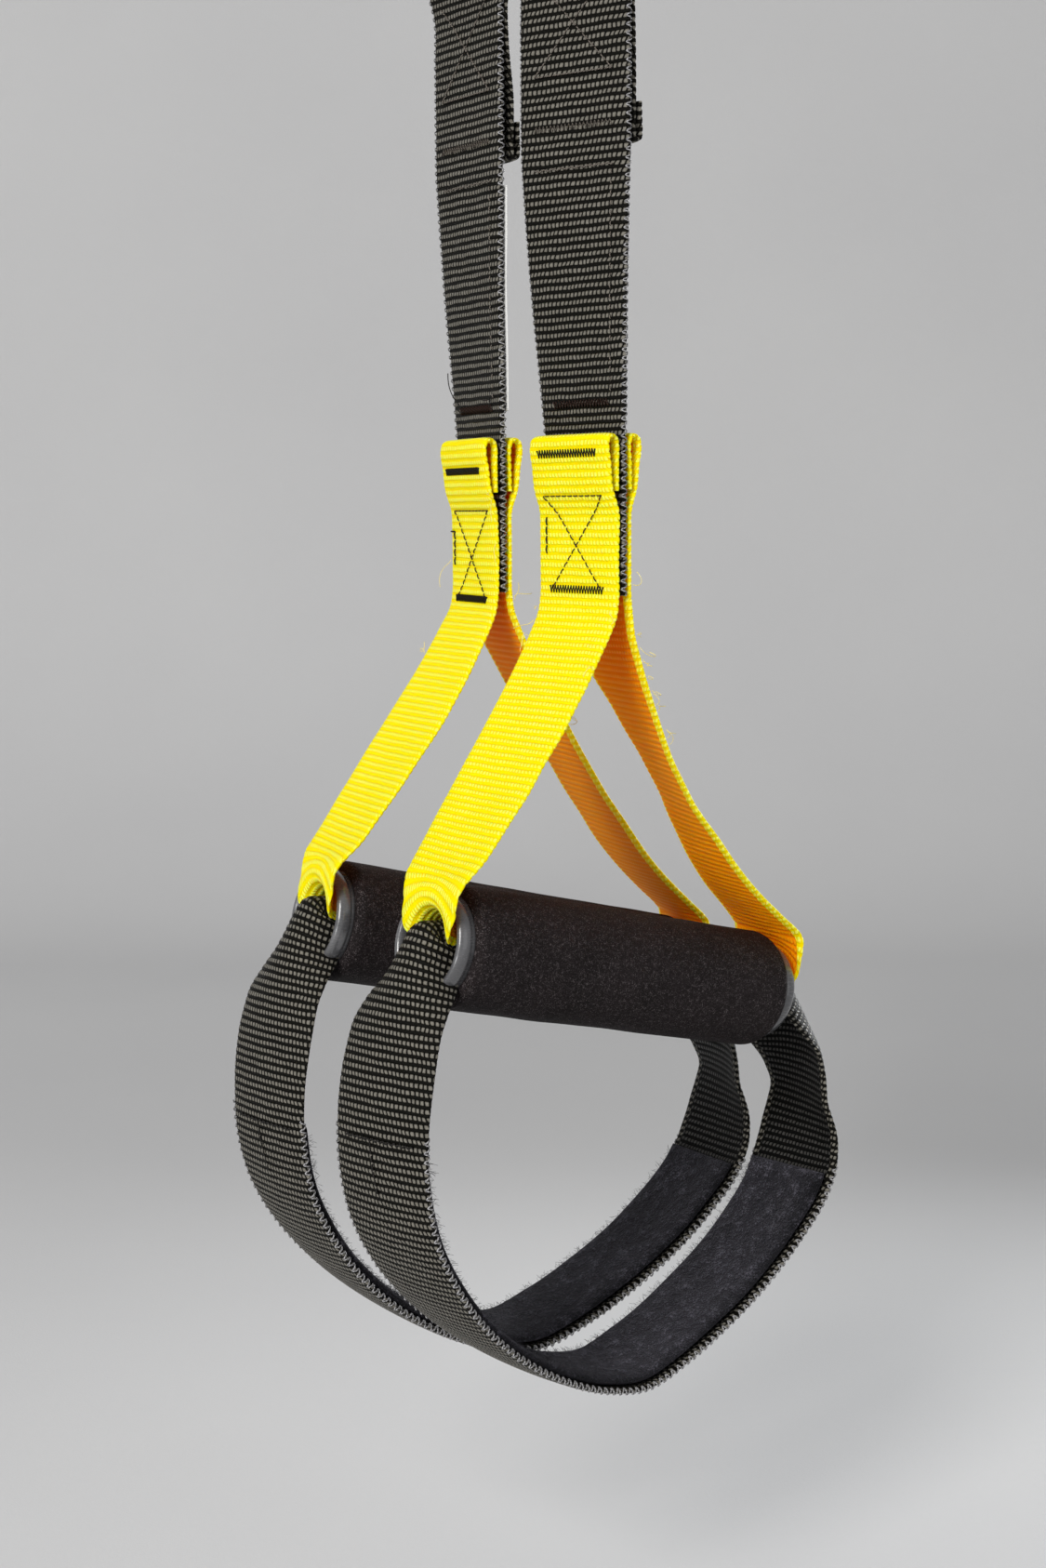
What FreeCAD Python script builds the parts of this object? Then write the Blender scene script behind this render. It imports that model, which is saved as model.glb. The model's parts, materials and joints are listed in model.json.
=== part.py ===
"""A pair of suspension-trainer handles on webbing straps, hung side by side from one ceiling bracket.

Frame: +Z up, origin at the centre of the bracket's mounting face, Y along the hanger bolt.
Each handle has a local frame: X along the grip, seen from above, and origin in the middle of its
stitched joint at the grip's level.
All sizes are in millimetres and all angles in degrees.
"""

import FreeCAD, Part
import math
import os
from collections import namedtuple

Vector = FreeCAD.Vector
UP = Vector(0, 0, 1)
ACROSS = Vector(0, 1, 0)

# Webbing and its layers
WEB_WIDTH = 38.0
WEB_THICK = 2.0
LAYER_GAP = 0.05
LAYER_STEP = WEB_THICK + LAYER_GAP
FLAT = 1.0e4
CRADLE_WIDTH = 35.0
LINER_WIDTH = 31.0
LINER_THICK = 3.5

# Grip tube
GRIP_LENGTH = 132.0
GRIP_TILT = -13.3
GRIP_CENTRE = Vector(7.1, 0, -10.2)
FOAM_RADIUS = 18.0
FOAM_EDGE = 3.0
FOAM_SETBACK = 3.2
CORE_RADIUS = 14.6
CORE_BORE = 13.4
CAP_BORE = 12.2
CAP_FLANGE_RADIUS = 15.4
CAP_FLANGE_THICK = 3.0
CAP_SLEEVE = 14.0
BEAD_RADIUS = 1.3

# Webbing inside the grip: the handle's channel, and the cradle's channel nested in it
HANDLE_CUP = 11.0
CRADLE_CUP = 8.5
LIP_PIVOT_IN = 1.3
LIP_TURN_RADIUS = 3.0
CRADLE_STRAIGHT = 10.8
CRADLE_TURN_RADIUS = 14.0
CRADLE_END_GAP = 1.0

# Where the bends at the mouths end: heading and cup radius of the webbing outside the grip
LEFT_LEG_HEADING = -124.0
RIGHT_LEG_HEADING = 128.0
LEG_CUP = 80.0
CRADLE_LEFT_HEADING = 268.0
CRADLE_RIGHT_HEADING = 98.0
CRADLE_FAN_CUP = 11.0

# Heights above the grip's level
HEM_TOP = 147.0
HEM_FOLD_END = 130.5
HEM_STEP_TOP = 131.5
HEM_STEP_BOTTOM = 125.0
STRAP_BOTTOM = 101.0
LABEL_BOTTOM = 154.7
LABEL_TOP = 220.2
TAIL_BOTTOM = 227.0
TAIL_ROLL_RADIUS = 2.0
TAIL_ROLL_HEIGHT = 14.0
TAIL_END_OFFSET = 3.2
STRAP_SPLIT = 272.0
STRAP_PARALLEL = 12.0
BOLT_HEIGHT = 305.0
MOUNT_HEIGHT = 335.0

# Ceiling bracket and hanger bolt
STRAP_SPACING = 48.0
HANDLE_SHIFT = 2.5
PLATE_LENGTH = 160.0
PLATE_WIDTH = 50.0
PLATE_THICK = 5.0
PLATE_CORNER = 8.0
MOUNT_HOLE_RADIUS = 4.25
MOUNT_SPACING_X = 28.0
MOUNT_SPACING_Y = 132.0
LUG_INNER = 46.0
LUG_THICK = 5.0
LUG_WIDTH = 30.0
BOLT_RADIUS = 6.0
BOLT_CLEARANCE = 0.1
BOLT_HEAD_THICK = 7.5
HEX_ACROSS_FLATS = 18.0
NUT_THICK = 10.0
WASHER_RADIUS = 12.0
WASHER_THICK = 2.0
BUSH_RADIUS = 10.0
BUSH_LENGTH = 40.0
LOOP_CLEARANCE = 0.3
BOLT_PROUD = 3.0
SPACER_RADIUS = 15.0

# Blank label
LABEL_THICK = 0.4
LABEL_WIDTH = 35.0

# Thread
THREAD = 0.5
BARTACK_LENGTH = 24.0
BARTACK_HEIGHT = 1.8
BOX_HALF_WIDTH = 11.0
BOX_BOTTOM = 104.5
BOX_TOP = 123.5
UPPER_TACK_DROP = 5.5
LOWER_TACK_DROP = 3.0
STRAP_TACK_RISE = 4.0
STRAP_BOX_RISE = 18.4
STRAP_BOX_MARGIN = 2.0

Station = namedtuple("Station", "x z heading cup turn hub")

# One row per handle: where it hangs, and how its webbing is turned about the vertical
Handle = namedtuple("Handle", "side y yaw hem_turn leg_turn strap_turn")
HANDLES = (
    Handle("right", -STRAP_SPACING / 2, 0.0, -4.5, -27.0, 13.0),
    Handle("left", STRAP_SPACING / 2, -7.5, -10.0, -12.0, -7.5),
)


def direction(angle):
    """Unit vector in the XZ plane, turned from +X towards +Z."""
    a = math.radians(angle)
    return Vector(math.cos(a), 0, math.sin(a))


def mix(a, b, part):
    """Value a part of the way from a to b."""
    return a + (b - a) * part


def mix_cup(a, b, part):
    """Cup radius with a curvature a part of the way between those of a and b."""
    return 1 / mix(1 / a, 1 / b, part)


def free(x, z, cup=FLAT, turn=0.0, hub=None):
    """Station whose heading is worked out from its neighbours."""
    return Station(x, z, None, cup, turn, hub)


def fixed(point, heading, cup=FLAT, turn=0.0, hub=None):
    """Station with a known heading."""
    return Station(point.x, point.z, heading, cup, turn, hub)


def bend(pivot, radius, start, end, count, cups=(FLAT, FLAT), turns=(0.0, 0.0), hub=None):
    """Stations round a pivot, with the heading going from start to end."""
    side = -90 if end > start else 90
    stations = []
    for i in range(count + 1):
        part = i / count
        heading = mix(start, end, part)
        point = pivot + direction(heading + side) * radius
        cup = mix_cup(cups[0], cups[1], part)
        stations.append(fixed(point, heading, cup, mix(turns[0], turns[1], part), hub))
    return stations


def fade_turns(stations, first, last):
    """Turn the stations by first at their start and last at their end, and not at all midway."""
    faded = []
    for i, station in enumerate(stations):
        part = i / (len(stations) - 1)
        turn = first * max(1 - 2 * part, 0) + last * max(2 * part - 1, 0)
        faded.append(station._replace(turn=turn))
    return faded


def with_headings(stations):
    """Give each free station the direction from the one before it to the one after it."""
    result = []
    for i, station in enumerate(stations):
        if station.heading is None:
            before = stations[max(i - 1, 0)]
            after = stations[min(i + 1, len(stations) - 1)]
            heading = math.degrees(math.atan2(after.z - before.z, after.x - before.x))
            station = station._replace(heading=heading)
        result.append(station)
    return result


def section(station, cup_side, width, thick, offset=0.0):
    """Closed outline of a strip cut across: an arc cupped to the left (1) or right (-1) of its run.

    The offset moves the strip towards the inside of the cup.
    """
    inward = direction(station.heading + 90 * cup_side)
    crown = Vector(station.x, 0, station.z)
    centre = crown + inward * station.cup
    middle = station.cup - offset
    half = width / middle / 2

    def point(radius, angle):
        return centre - inward * (radius * math.cos(angle)) + ACROSS * (radius * math.sin(angle))

    outer = middle + thick / 2
    inner = middle - thick / 2
    wire = Part.Wire([
        Part.Arc(point(outer, -half), point(outer, 0), point(outer, half)).toShape(),
        Part.LineSegment(point(outer, half), point(inner, half)).toShape(),
        Part.Arc(point(inner, half), point(inner, 0), point(inner, -half)).toShape(),
        Part.LineSegment(point(inner, -half), point(outer, -half)).toShape(),
    ])
    hub_x = station.x if station.hub is None else station.hub
    wire.rotate(Vector(hub_x, 0, 0), UP, station.turn)
    return wire


def strip(stations, cup_side, width, thick, offset=0.0):
    """Solid strip of webbing through its stations."""
    wires = [section(s, cup_side, width, thick, offset) for s in with_headings(stations)]
    return Part.makeLoft(wires, True, True)


def box_between(start, end, width, thick):
    """Bar of thread on the YZ plane from start to end, standing out along +X."""
    along = end - start
    bar = Part.makeBox(thick, width, along.Length)
    bar.translate(Vector(0, -width / 2, 0))
    bar.Placement = FreeCAD.Placement(start, FreeCAD.Rotation(UP, along)).multiply(bar.Placement)
    return bar


def grip_point(along, up=0.0):
    """Point in the grip's own frame: along its axis from its middle, and up from the axis."""
    return GRIP_CENTRE + direction(GRIP_TILT) * along + direction(GRIP_TILT + 90) * up


def on_grip(shape):
    """Move a shape that was made along +X from the origin onto the grip's axis."""
    shape.rotate(Vector(0, 0, 0), ACROSS, -GRIP_TILT)
    shape.translate(GRIP_CENTRE)
    return shape


def revolve_x(wire):
    """Solid of revolution about the X axis."""
    return Part.Face(wire).revolve(Vector(0, 0, 0), Vector(1, 0, 0), 360)


# ---- grip ----

def grip_core():
    """Stiff tube that the foam is pushed over and the end caps plug into."""
    length = GRIP_LENGTH - 2 * CAP_FLANGE_THICK
    start = Vector(-length / 2, 0, 0)
    tube = Part.makeCylinder(CORE_RADIUS, length, start, Vector(1, 0, 0))
    return on_grip(tube.cut(Part.makeCylinder(CORE_BORE, length, start, Vector(1, 0, 0))))


def grip_foam():
    """Foam sleeve with rounded ends."""
    end = GRIP_LENGTH / 2 - FOAM_SETBACK
    edge = end - FOAM_EDGE
    shoulder = FOAM_RADIUS - FOAM_EDGE
    diagonal = FOAM_EDGE * math.sqrt(0.5)

    def rounded(sign):
        return Part.Arc(
            Vector(sign * edge, 0, FOAM_RADIUS),
            Vector(sign * (edge + diagonal), 0, shoulder + diagonal),
            Vector(sign * end, 0, shoulder),
        ).toShape()

    wire = Part.Wire(Part.__sortEdges__([
        Part.LineSegment(Vector(-end, 0, CORE_RADIUS), Vector(end, 0, CORE_RADIUS)).toShape(),
        Part.LineSegment(Vector(end, 0, CORE_RADIUS), Vector(end, 0, shoulder)).toShape(),
        rounded(1),
        Part.LineSegment(Vector(edge, 0, FOAM_RADIUS), Vector(-edge, 0, FOAM_RADIUS)).toShape(),
        rounded(-1),
        Part.LineSegment(Vector(-end, 0, shoulder), Vector(-end, 0, CORE_RADIUS)).toShape(),
    ]))
    return on_grip(revolve_x(wire))


def grip_cap(sign):
    """End cap: a sleeve inside the core, a flange over its end and a smooth bead round the mouth."""
    mouth = GRIP_LENGTH / 2
    back = mouth - CAP_FLANGE_THICK
    rim = mouth - BEAD_RADIUS
    bead_outer = CAP_BORE + 2 * BEAD_RADIUS

    def at(x, radius):
        return Vector(sign * x, 0, radius)

    corners = [
        at(rim, CAP_BORE),
        at(back - CAP_SLEEVE, CAP_BORE),
        at(back - CAP_SLEEVE, CORE_BORE),
        at(back, CORE_BORE),
        at(back, CAP_FLANGE_RADIUS),
        at(rim, CAP_FLANGE_RADIUS),
        at(rim, bead_outer),
    ]
    edges = [Part.LineSegment(a, b).toShape() for a, b in zip(corners, corners[1:])]
    bead = Part.Arc(at(rim, bead_outer), at(mouth, CAP_BORE + BEAD_RADIUS), at(rim, CAP_BORE))
    return on_grip(revolve_x(Part.Wire(edges + [bead.toShape()])))


# ---- handle webbing ----

def hem(sign, turn):
    """Folded end of the handle webbing beside the strap, from its inner end out and down."""
    inner = sign * (WEB_THICK / 2 + LAYER_GAP + WEB_THICK / 2)
    outer = inner + sign * LAYER_STEP
    fold_radius = LAYER_STEP / 2
    pivot = Vector((inner + outer) / 2, 0, HEM_TOP - WEB_THICK / 2 - fold_radius)
    fold = bend(pivot, fold_radius, 90, 270, 6, turns=(turn, turn), hub=0.0)
    inner_end = free(inner, HEM_FOLD_END, FLAT, turn, 0.0)
    below = [
        free(outer, HEM_STEP_TOP, FLAT, turn, 0.0),
        free(inner, HEM_STEP_BOTTOM, FLAT, turn, 0.0),
        free(inner, STRAP_BOTTOM, FLAT, turn, 0.0),
    ]
    if sign < 0:
        return [inner_end] + fold + below
    return below[::-1] + fold + [inner_end]


def handle_webbing(handle):
    """One band: hem, left leg, a channel through the grip, right leg, hem."""
    left_leg = [
        (-3.2, 95.5, FLAT), (-6.2, 89.5, FLAT), (-14.5, 76.0, FLAT), (-22.5, 64.5, FLAT),
        (-31.5, 52.0, 900.0), (-42.5, 38.0, 250.0), (-49.8, 27.5, 120.0),
    ]
    right_leg = [
        (70.6, -3.5, 120.0), (58.2, 13.0, 250.0), (46.5, 28.0, 900.0), (39.0, 38.0, FLAT),
        (29.0, 52.0, FLAT), (18.8, 67.0, FLAT), (11.5, 79.0, FLAT), (5.6, 90.0, FLAT),
        (3.1, 95.5, FLAT),
    ]
    mouth_turns = (-12.0, -8.0)
    middle_turns = (-4.0, handle.leg_turn)
    left = []
    for i, (x, z, cup) in enumerate(left_leg):
        part = i / (len(left_leg) - 1)
        upper = mix(handle.hem_turn, middle_turns[0], min(part * 2, 1))
        left.append(free(x, z, cup, mix(upper, mouth_turns[0], max(part * 2 - 1, 0))))
    right = []
    for i, (x, z, cup) in enumerate(right_leg):
        part = i / (len(right_leg) - 1)
        lower = mix(mouth_turns[1], middle_turns[1], min(part * 2, 1))
        right.append(free(x, z, cup, mix(lower, handle.hem_turn, max(part * 2 - 1, 0))))
    mouth = GRIP_LENGTH / 2 - LIP_PIVOT_IN
    lip = HANDLE_CUP + LIP_TURN_RADIUS
    left_turn = bend(grip_point(-mouth, lip), LIP_TURN_RADIUS, LEFT_LEG_HEADING, GRIP_TILT, 7,
                     (LEG_CUP, HANDLE_CUP))
    right_turn = bend(grip_point(mouth, lip), LIP_TURN_RADIUS, GRIP_TILT, RIGHT_LEG_HEADING, 8,
                      (HANDLE_CUP, LEG_CUP))
    left_turn = fade_turns(left_turn, mouth_turns[0], 0.0)
    right_turn = fade_turns(right_turn, 0.0, mouth_turns[1])
    stations = hem(-1, handle.hem_turn) + left + left_turn + right_turn + right
    stations += hem(1, handle.hem_turn)
    return strip(stations, -1, WEB_WIDTH, WEB_THICK)


def handle_stitching(handle):
    """Bar tacks and a crossed box on both outer faces of the stitched joint."""
    lower_face = WEB_THICK / 2 + LAYER_STEP + LAYER_GAP
    upper_face = lower_face + LAYER_STEP
    corners = [Vector(lower_face, y, z) for z in (BOX_BOTTOM, BOX_TOP)
               for y in (-BOX_HALF_WIDTH, BOX_HALF_WIDTH)]
    lines = [
        box_between(corners[2], corners[3], THREAD, THREAD),
        box_between(corners[0], corners[3], THREAD, THREAD),
        box_between(corners[1], corners[2], THREAD, THREAD),
    ]
    crossed_box = lines[0].fuse(lines[1:])
    tack_start = Vector(upper_face, -BARTACK_LENGTH / 2, HEM_TOP - UPPER_TACK_DROP)
    tack = Part.makeBox(THREAD, BARTACK_LENGTH, BARTACK_HEIGHT, tack_start)
    low_start = Vector(lower_face, -BARTACK_LENGTH / 2, BOX_BOTTOM - LOWER_TACK_DROP)
    low_tack = Part.makeBox(THREAD, BARTACK_LENGTH, BARTACK_HEIGHT, low_start)
    pieces = [crossed_box, tack, low_tack]
    pieces += [piece.mirror(Vector(0, 0, 0), Vector(1, 0, 0)) for piece in pieces]
    stitching = Part.makeCompound(pieces)
    stitching.rotate(Vector(0, 0, 0), UP, handle.hem_turn)
    return stitching


# ---- foot cradle ----

# Crown of the cradle from the left mouth round the bottom to the right mouth: x, z, cup, turn
CRADLE_RUN = (
    (-81.6, -9.0, 18.0, 0.0), (-80.0, -22.0, 35.0, 0.0), (-79.0, -36.0, 60.0, -2.0),
    (-78.2, -48.0, 90.0, -3.0), (-76.4, -61.0, 120.0, -4.0), (-71.8, -76.0, 150.0, -3.0),
    (-63.5, -91.5, 150.0, 0.0), (-52.0, -105.5, 150.0, 0.0), (-38.5, -117.0, 150.0, 0.0),
    (-22.5, -127.0, 150.0, 0.0), (-5.5, -134.0, 150.0, 0.0), (10.0, -136.5, 150.0, 0.0),
    (25.0, -132.5, 150.0, 0.0), (43.0, -124.8, 150.0, 0.0), (60.5, -115.0, 150.0, 0.0),
    (76.0, -103.0, 150.0, 0.0), (86.0, -92.5, 150.0, -3.0), (91.5, -81.0, 120.0, -10.0),
    (94.5, -66.0, 90.0, -22.0), (95.8, -52.0, 40.0, -18.0), (95.4, -40.5, 18.0, -8.0),
)
LINER_FIRST = 3
LINER_LAST = 17


def cradle_run():
    """Stations of the foot loop below the grip, each turned about its own crown."""
    return [free(x, z, cup, turn, x) for x, z, cup, turn in CRADLE_RUN]


def cradle_webbing():
    """Foot loop: a band through the grip whose two ends meet in the middle of the tube."""
    out = GRIP_LENGTH / 2 + CRADLE_STRAIGHT
    below = CRADLE_CUP - CRADLE_TURN_RADIUS
    leftward = 180 + GRIP_TILT
    first = fixed(grip_point(-CRADLE_END_GAP / 2, CRADLE_CUP), leftward, CRADLE_CUP)
    last = fixed(grip_point(CRADLE_END_GAP / 2, CRADLE_CUP), leftward, CRADLE_CUP)
    left_turn = bend(grip_point(-out, below), CRADLE_TURN_RADIUS, leftward, CRADLE_LEFT_HEADING, 6,
                     (CRADLE_CUP, CRADLE_FAN_CUP))
    right_turn = bend(grip_point(out, below), CRADLE_TURN_RADIUS, CRADLE_RIGHT_HEADING, leftward, 5,
                      (CRADLE_FAN_CUP, CRADLE_CUP))
    stations = [first] + left_turn + cradle_run() + right_turn + [last]
    return strip(stations, 1, CRADLE_WIDTH, WEB_THICK)


def cradle_liner():
    """Plush pad on the inside of the foot loop."""
    run = with_headings(cradle_run())[LINER_FIRST:LINER_LAST + 1]
    offset = WEB_THICK / 2 + LAYER_GAP + LINER_THICK / 2
    return strip(run, 1, LINER_WIDTH, LINER_THICK, offset)


def cradle_stitching():
    """Rows of thread across the outer face where the liner begins and ends."""
    run = with_headings(cradle_run())
    rows = []
    for index in (LINER_FIRST, LINER_LAST):
        station = run[index]
        along = direction(station.heading) * (BARTACK_HEIGHT / 2)
        ends = [station._replace(x=station.x + s * along.x, z=station.z + s * along.z)
                for s in (-1, 1)]
        offset = -(WEB_THICK / 2 + LAYER_GAP * 3 + THREAD / 2)
        rows.append(strip(ends, 1, BARTACK_LENGTH, THREAD, offset))
    return Part.makeCompound(rows)


# ---- hanging strap ----

def strap_turn_at(handle, z):
    """Turn of the strap about the vertical at a height: the joint's, then the stitched zone's."""
    hem_turn = handle.yaw + handle.hem_turn
    part = (z - HEM_TOP) / (TAIL_BOTTOM - HEM_TOP)
    return mix(hem_turn, handle.strap_turn, min(max(part, 0), 1))


def strap_front(handle):
    """Stations of the front layer, from the joint up to where the layers part."""
    layer = LAYER_STEP / 2
    run = ((HANDLE_SHIFT, STRAP_BOTTOM), (HANDLE_SHIFT, HEM_TOP - 1), (HANDLE_SHIFT, HEM_TOP),
           (1.6, 165.0), (0.4, 185.0), (-0.4, 205.0), (-layer, TAIL_BOTTOM),
           (-layer, STRAP_SPLIT - STRAP_PARALLEL), (-layer, STRAP_SPLIT))
    stations = []
    for x, z in run:
        hub = HANDLE_SHIFT if z <= HEM_TOP else mix(HANDLE_SHIFT, 0.0, min((z - HEM_TOP) / 60, 1))
        stations.append(free(x, z, FLAT, strap_turn_at(handle, z), hub))
    return stations


def strap_webbing(handle):
    """Hanging strap: up from the joint, round the bush, down behind itself to a rolled tail."""
    layer = LAYER_STEP / 2
    loop_radius = BUSH_RADIUS + LOOP_CLEARANCE + WEB_THICK / 2
    rise = BOLT_HEIGHT - STRAP_SPLIT
    spread = math.degrees(math.asin(loop_radius / math.hypot(rise, layer)))
    tangent = math.degrees(math.atan2(rise, layer)) + spread
    loop = bend(Vector(0, 0, BOLT_HEIGHT), loop_radius, tangent, -tangent, 10)
    pivot = Vector(layer + TAIL_ROLL_RADIUS, 0, TAIL_BOTTOM + TAIL_ROLL_RADIUS + WEB_THICK / 2)
    turn = handle.strap_turn
    roll = bend(pivot, TAIL_ROLL_RADIUS, 270, 450, 6, turns=(turn, turn), hub=0.0)
    back = [
        free(layer, STRAP_SPLIT, FLAT, turn, 0.0),
        free(layer, STRAP_SPLIT - STRAP_PARALLEL, FLAT, turn, 0.0),
    ]
    tail_end = free(layer + TAIL_END_OFFSET, TAIL_BOTTOM + TAIL_ROLL_HEIGHT, FLAT, turn, 0.0)
    return strip(strap_front(handle) + loop + back + roll + [tail_end], 1, WEB_WIDTH, WEB_THICK)


def strap_label(handle):
    """Blank fabric label sewn flat on the back of the strap."""
    front = with_headings(strap_front(handle))
    inside = [s for s in front if LABEL_BOTTOM < s.z < LABEL_TOP]
    ends = []
    for height in (LABEL_BOTTOM, LABEL_TOP):
        below = [s for s in front if s.z <= height][-1]
        above = [s for s in front if s.z > height][0]
        part = (height - below.z) / (above.z - below.z)
        ends.append(Station(*(mix(a, b, part) for a, b in zip(below, above))))
    stations = [ends[0]] + inside + [ends[1]]
    offset = -(WEB_THICK / 2 + LAYER_GAP * 4 + LABEL_THICK / 2)
    return strip(stations, 1, LABEL_WIDTH, LABEL_THICK, offset)


def strap_stitching(handle):
    """Bar tack and crossed box on the front face, above the tail."""
    face = -(LAYER_STEP / 2 + WEB_THICK / 2 + LAYER_GAP)
    bottom = TAIL_BOTTOM + STRAP_BOX_RISE
    top = STRAP_SPLIT - STRAP_BOX_MARGIN
    corners = [Vector(0, y, z) for z in (bottom, top) for y in (-BOX_HALF_WIDTH, BOX_HALF_WIDTH)]
    lines = [
        box_between(corners[0], corners[1], THREAD, THREAD),
        box_between(corners[0], corners[3], THREAD, THREAD),
        box_between(corners[1], corners[2], THREAD, THREAD),
    ]
    crossed_box = lines[0].fuse(lines[1:])
    tack_start = Vector(0, -BARTACK_LENGTH / 2, TAIL_BOTTOM + STRAP_TACK_RISE)
    tack = Part.makeBox(THREAD, BARTACK_LENGTH, BARTACK_HEIGHT, tack_start)
    stitching = Part.makeCompound([crossed_box, tack])
    stitching = stitching.mirror(Vector(0, 0, 0), Vector(1, 0, 0))
    stitching.translate(Vector(face, 0, 0))
    stitching.rotate(Vector(0, 0, 0), UP, handle.strap_turn)
    return stitching


# ---- ceiling bracket ----

def ring_y(outer, inner, y_start, y_end):
    """Ring or bush about the bolt's axis."""
    start = Vector(0, y_start, BOLT_HEIGHT)
    ring = Part.makeCylinder(outer, y_end - y_start, start, ACROSS)
    return ring.cut(Part.makeCylinder(inner, y_end - y_start, start, ACROSS))


def hexagon_y(y_start, y_end):
    """Hexagonal prism about the bolt's axis, with a flat on top."""
    reach = HEX_ACROSS_FLATS / 2 / math.cos(math.radians(30))
    corners = [Vector(0, y_start, BOLT_HEIGHT) + direction(60 * i) * reach for i in range(6)]
    face = Part.Face(Part.makePolygon(corners + corners[:1]))
    return face.extrude(Vector(0, y_end - y_start, 0))


def anchor_bracket():
    """Ceiling plate with two welded lugs that carry the hanger bolt."""
    plate = Part.makeBox(PLATE_WIDTH, PLATE_LENGTH, PLATE_THICK)
    plate.translate(Vector(-PLATE_WIDTH / 2, -PLATE_LENGTH / 2, MOUNT_HEIGHT - PLATE_THICK))
    uprights = [edge for edge in plate.Edges if abs(edge.tangentAt(0).z) > 0.99]
    bracket = plate.makeFillet(PLATE_CORNER, uprights)
    for sign in (-1, 1):
        inner_y = sign * LUG_INNER
        start_y = min(inner_y, inner_y + sign * LUG_THICK)
        height = MOUNT_HEIGHT - PLATE_THICK - BOLT_HEIGHT
        corner = Vector(-LUG_WIDTH / 2, start_y, BOLT_HEIGHT)
        lug = Part.makeBox(LUG_WIDTH, LUG_THICK, height, corner)
        round_end = Part.makeCylinder(LUG_WIDTH / 2, LUG_THICK, Vector(0, start_y, BOLT_HEIGHT), ACROSS)
        hole = Part.makeCylinder(BOLT_RADIUS + BOLT_CLEARANCE, LUG_THICK,
                                 Vector(0, start_y, BOLT_HEIGHT), ACROSS)
        bracket = bracket.fuse([lug, round_end]).cut(hole)
    for x in (-MOUNT_SPACING_X / 2, MOUNT_SPACING_X / 2):
        for y in (-MOUNT_SPACING_Y / 2, MOUNT_SPACING_Y / 2):
            hole = Part.makeCylinder(MOUNT_HOLE_RADIUS, PLATE_THICK,
                                     Vector(x, y, MOUNT_HEIGHT - PLATE_THICK))
            bracket = bracket.cut(hole)
    return bracket.removeSplitter()


def hanger_bolt():
    """Hex-head bolt through both lugs; the nut's end stands a little proud."""
    head_face = -(LUG_INNER + LUG_THICK + WASHER_THICK)
    end = LUG_INNER + LUG_THICK + WASHER_THICK + NUT_THICK + BOLT_PROUD
    start = Vector(0, head_face, BOLT_HEIGHT)
    shank = Part.makeCylinder(BOLT_RADIUS, end - head_face, start, ACROSS)
    return shank.fuse(hexagon_y(head_face - BOLT_HEAD_THICK, head_face))


def hanger_nut():
    """Hex nut; the bore touches the bolt's thread."""
    start = LUG_INNER + LUG_THICK + WASHER_THICK
    bore = Part.makeCylinder(BOLT_RADIUS, NUT_THICK, Vector(0, start, BOLT_HEIGHT), ACROSS)
    return hexagon_y(start, start + NUT_THICK).cut(bore)


def outer_washers():
    """Two washers outside the lugs, under the bolt's head and the nut."""
    start = LUG_INNER + LUG_THICK
    bore = BOLT_RADIUS + BOLT_CLEARANCE
    rings = [ring_y(WASHER_RADIUS, bore, s, s + WASHER_THICK) for s in (start, -start - WASHER_THICK)]
    return Part.makeCompound(rings)


def side_washers():
    """Two washers between the lugs and the bushes."""
    start = STRAP_SPACING / 2 + BUSH_LENGTH / 2
    bore = BOLT_RADIUS + BOLT_CLEARANCE
    rings = [ring_y(WASHER_RADIUS, bore, s, s + LUG_INNER - start) for s in (start, -LUG_INNER)]
    return Part.makeCompound(rings)


def strap_bush(handle):
    """Smooth bush on the bolt that the strap's loop turns on."""
    bore = BOLT_RADIUS + BOLT_CLEARANCE
    return ring_y(BUSH_RADIUS, bore, handle.y - BUSH_LENGTH / 2, handle.y + BUSH_LENGTH / 2)


def centre_spacer():
    """Collar on the bolt that keeps the two strap loops apart."""
    half = STRAP_SPACING / 2 - BUSH_LENGTH / 2
    return ring_y(SPACER_RADIUS, BOLT_RADIUS + BOLT_CLEARANCE, -half, half)


def place_handle(shape, handle):
    """From the handle's local frame to the shared frame."""
    placed = shape.copy()
    placed.rotate(Vector(0, 0, 0), UP, handle.yaw)
    placed.translate(Vector(HANDLE_SHIFT, handle.y, -MOUNT_HEIGHT))
    return placed


def place_strap(shape, handle):
    """From the strap's frame, whose Z axis meets the bolt, to the shared frame."""
    placed = shape.copy()
    placed.translate(Vector(0, handle.y, -MOUNT_HEIGHT))
    return placed


def place_anchor(shape):
    """From heights above the grip's level to the shared frame."""
    placed = shape.copy()
    placed.translate(Vector(0, 0, -MOUNT_HEIGHT))
    return placed


def handle_nodes(handle):
    """Every node of one handle and its strap, in the shared frame."""
    local = {
        "handle_webbing": handle_webbing(handle),
        "handle_stitching": handle_stitching(handle),
        "grip_core": grip_core(),
        "grip_foam": grip_foam(),
        "grip_cap_outer": grip_cap(-1),
        "grip_cap_inner": grip_cap(1),
        "cradle_webbing": cradle_webbing(),
        "cradle_liner": cradle_liner(),
        "cradle_stitching": cradle_stitching(),
    }
    hanging = {
        "strap_webbing": strap_webbing(handle),
        "strap_label": strap_label(handle),
        "strap_stitching": strap_stitching(handle),
    }
    nodes = {name: place_handle(shape, handle) for name, shape in local.items()}
    nodes.update({name: place_strap(shape, handle) for name, shape in hanging.items()})
    nodes = {f"{handle.side}_{name}": shape for name, shape in nodes.items()}
    nodes[f"{handle.side}_strap_bush"] = place_anchor(strap_bush(handle))
    return nodes


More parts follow.
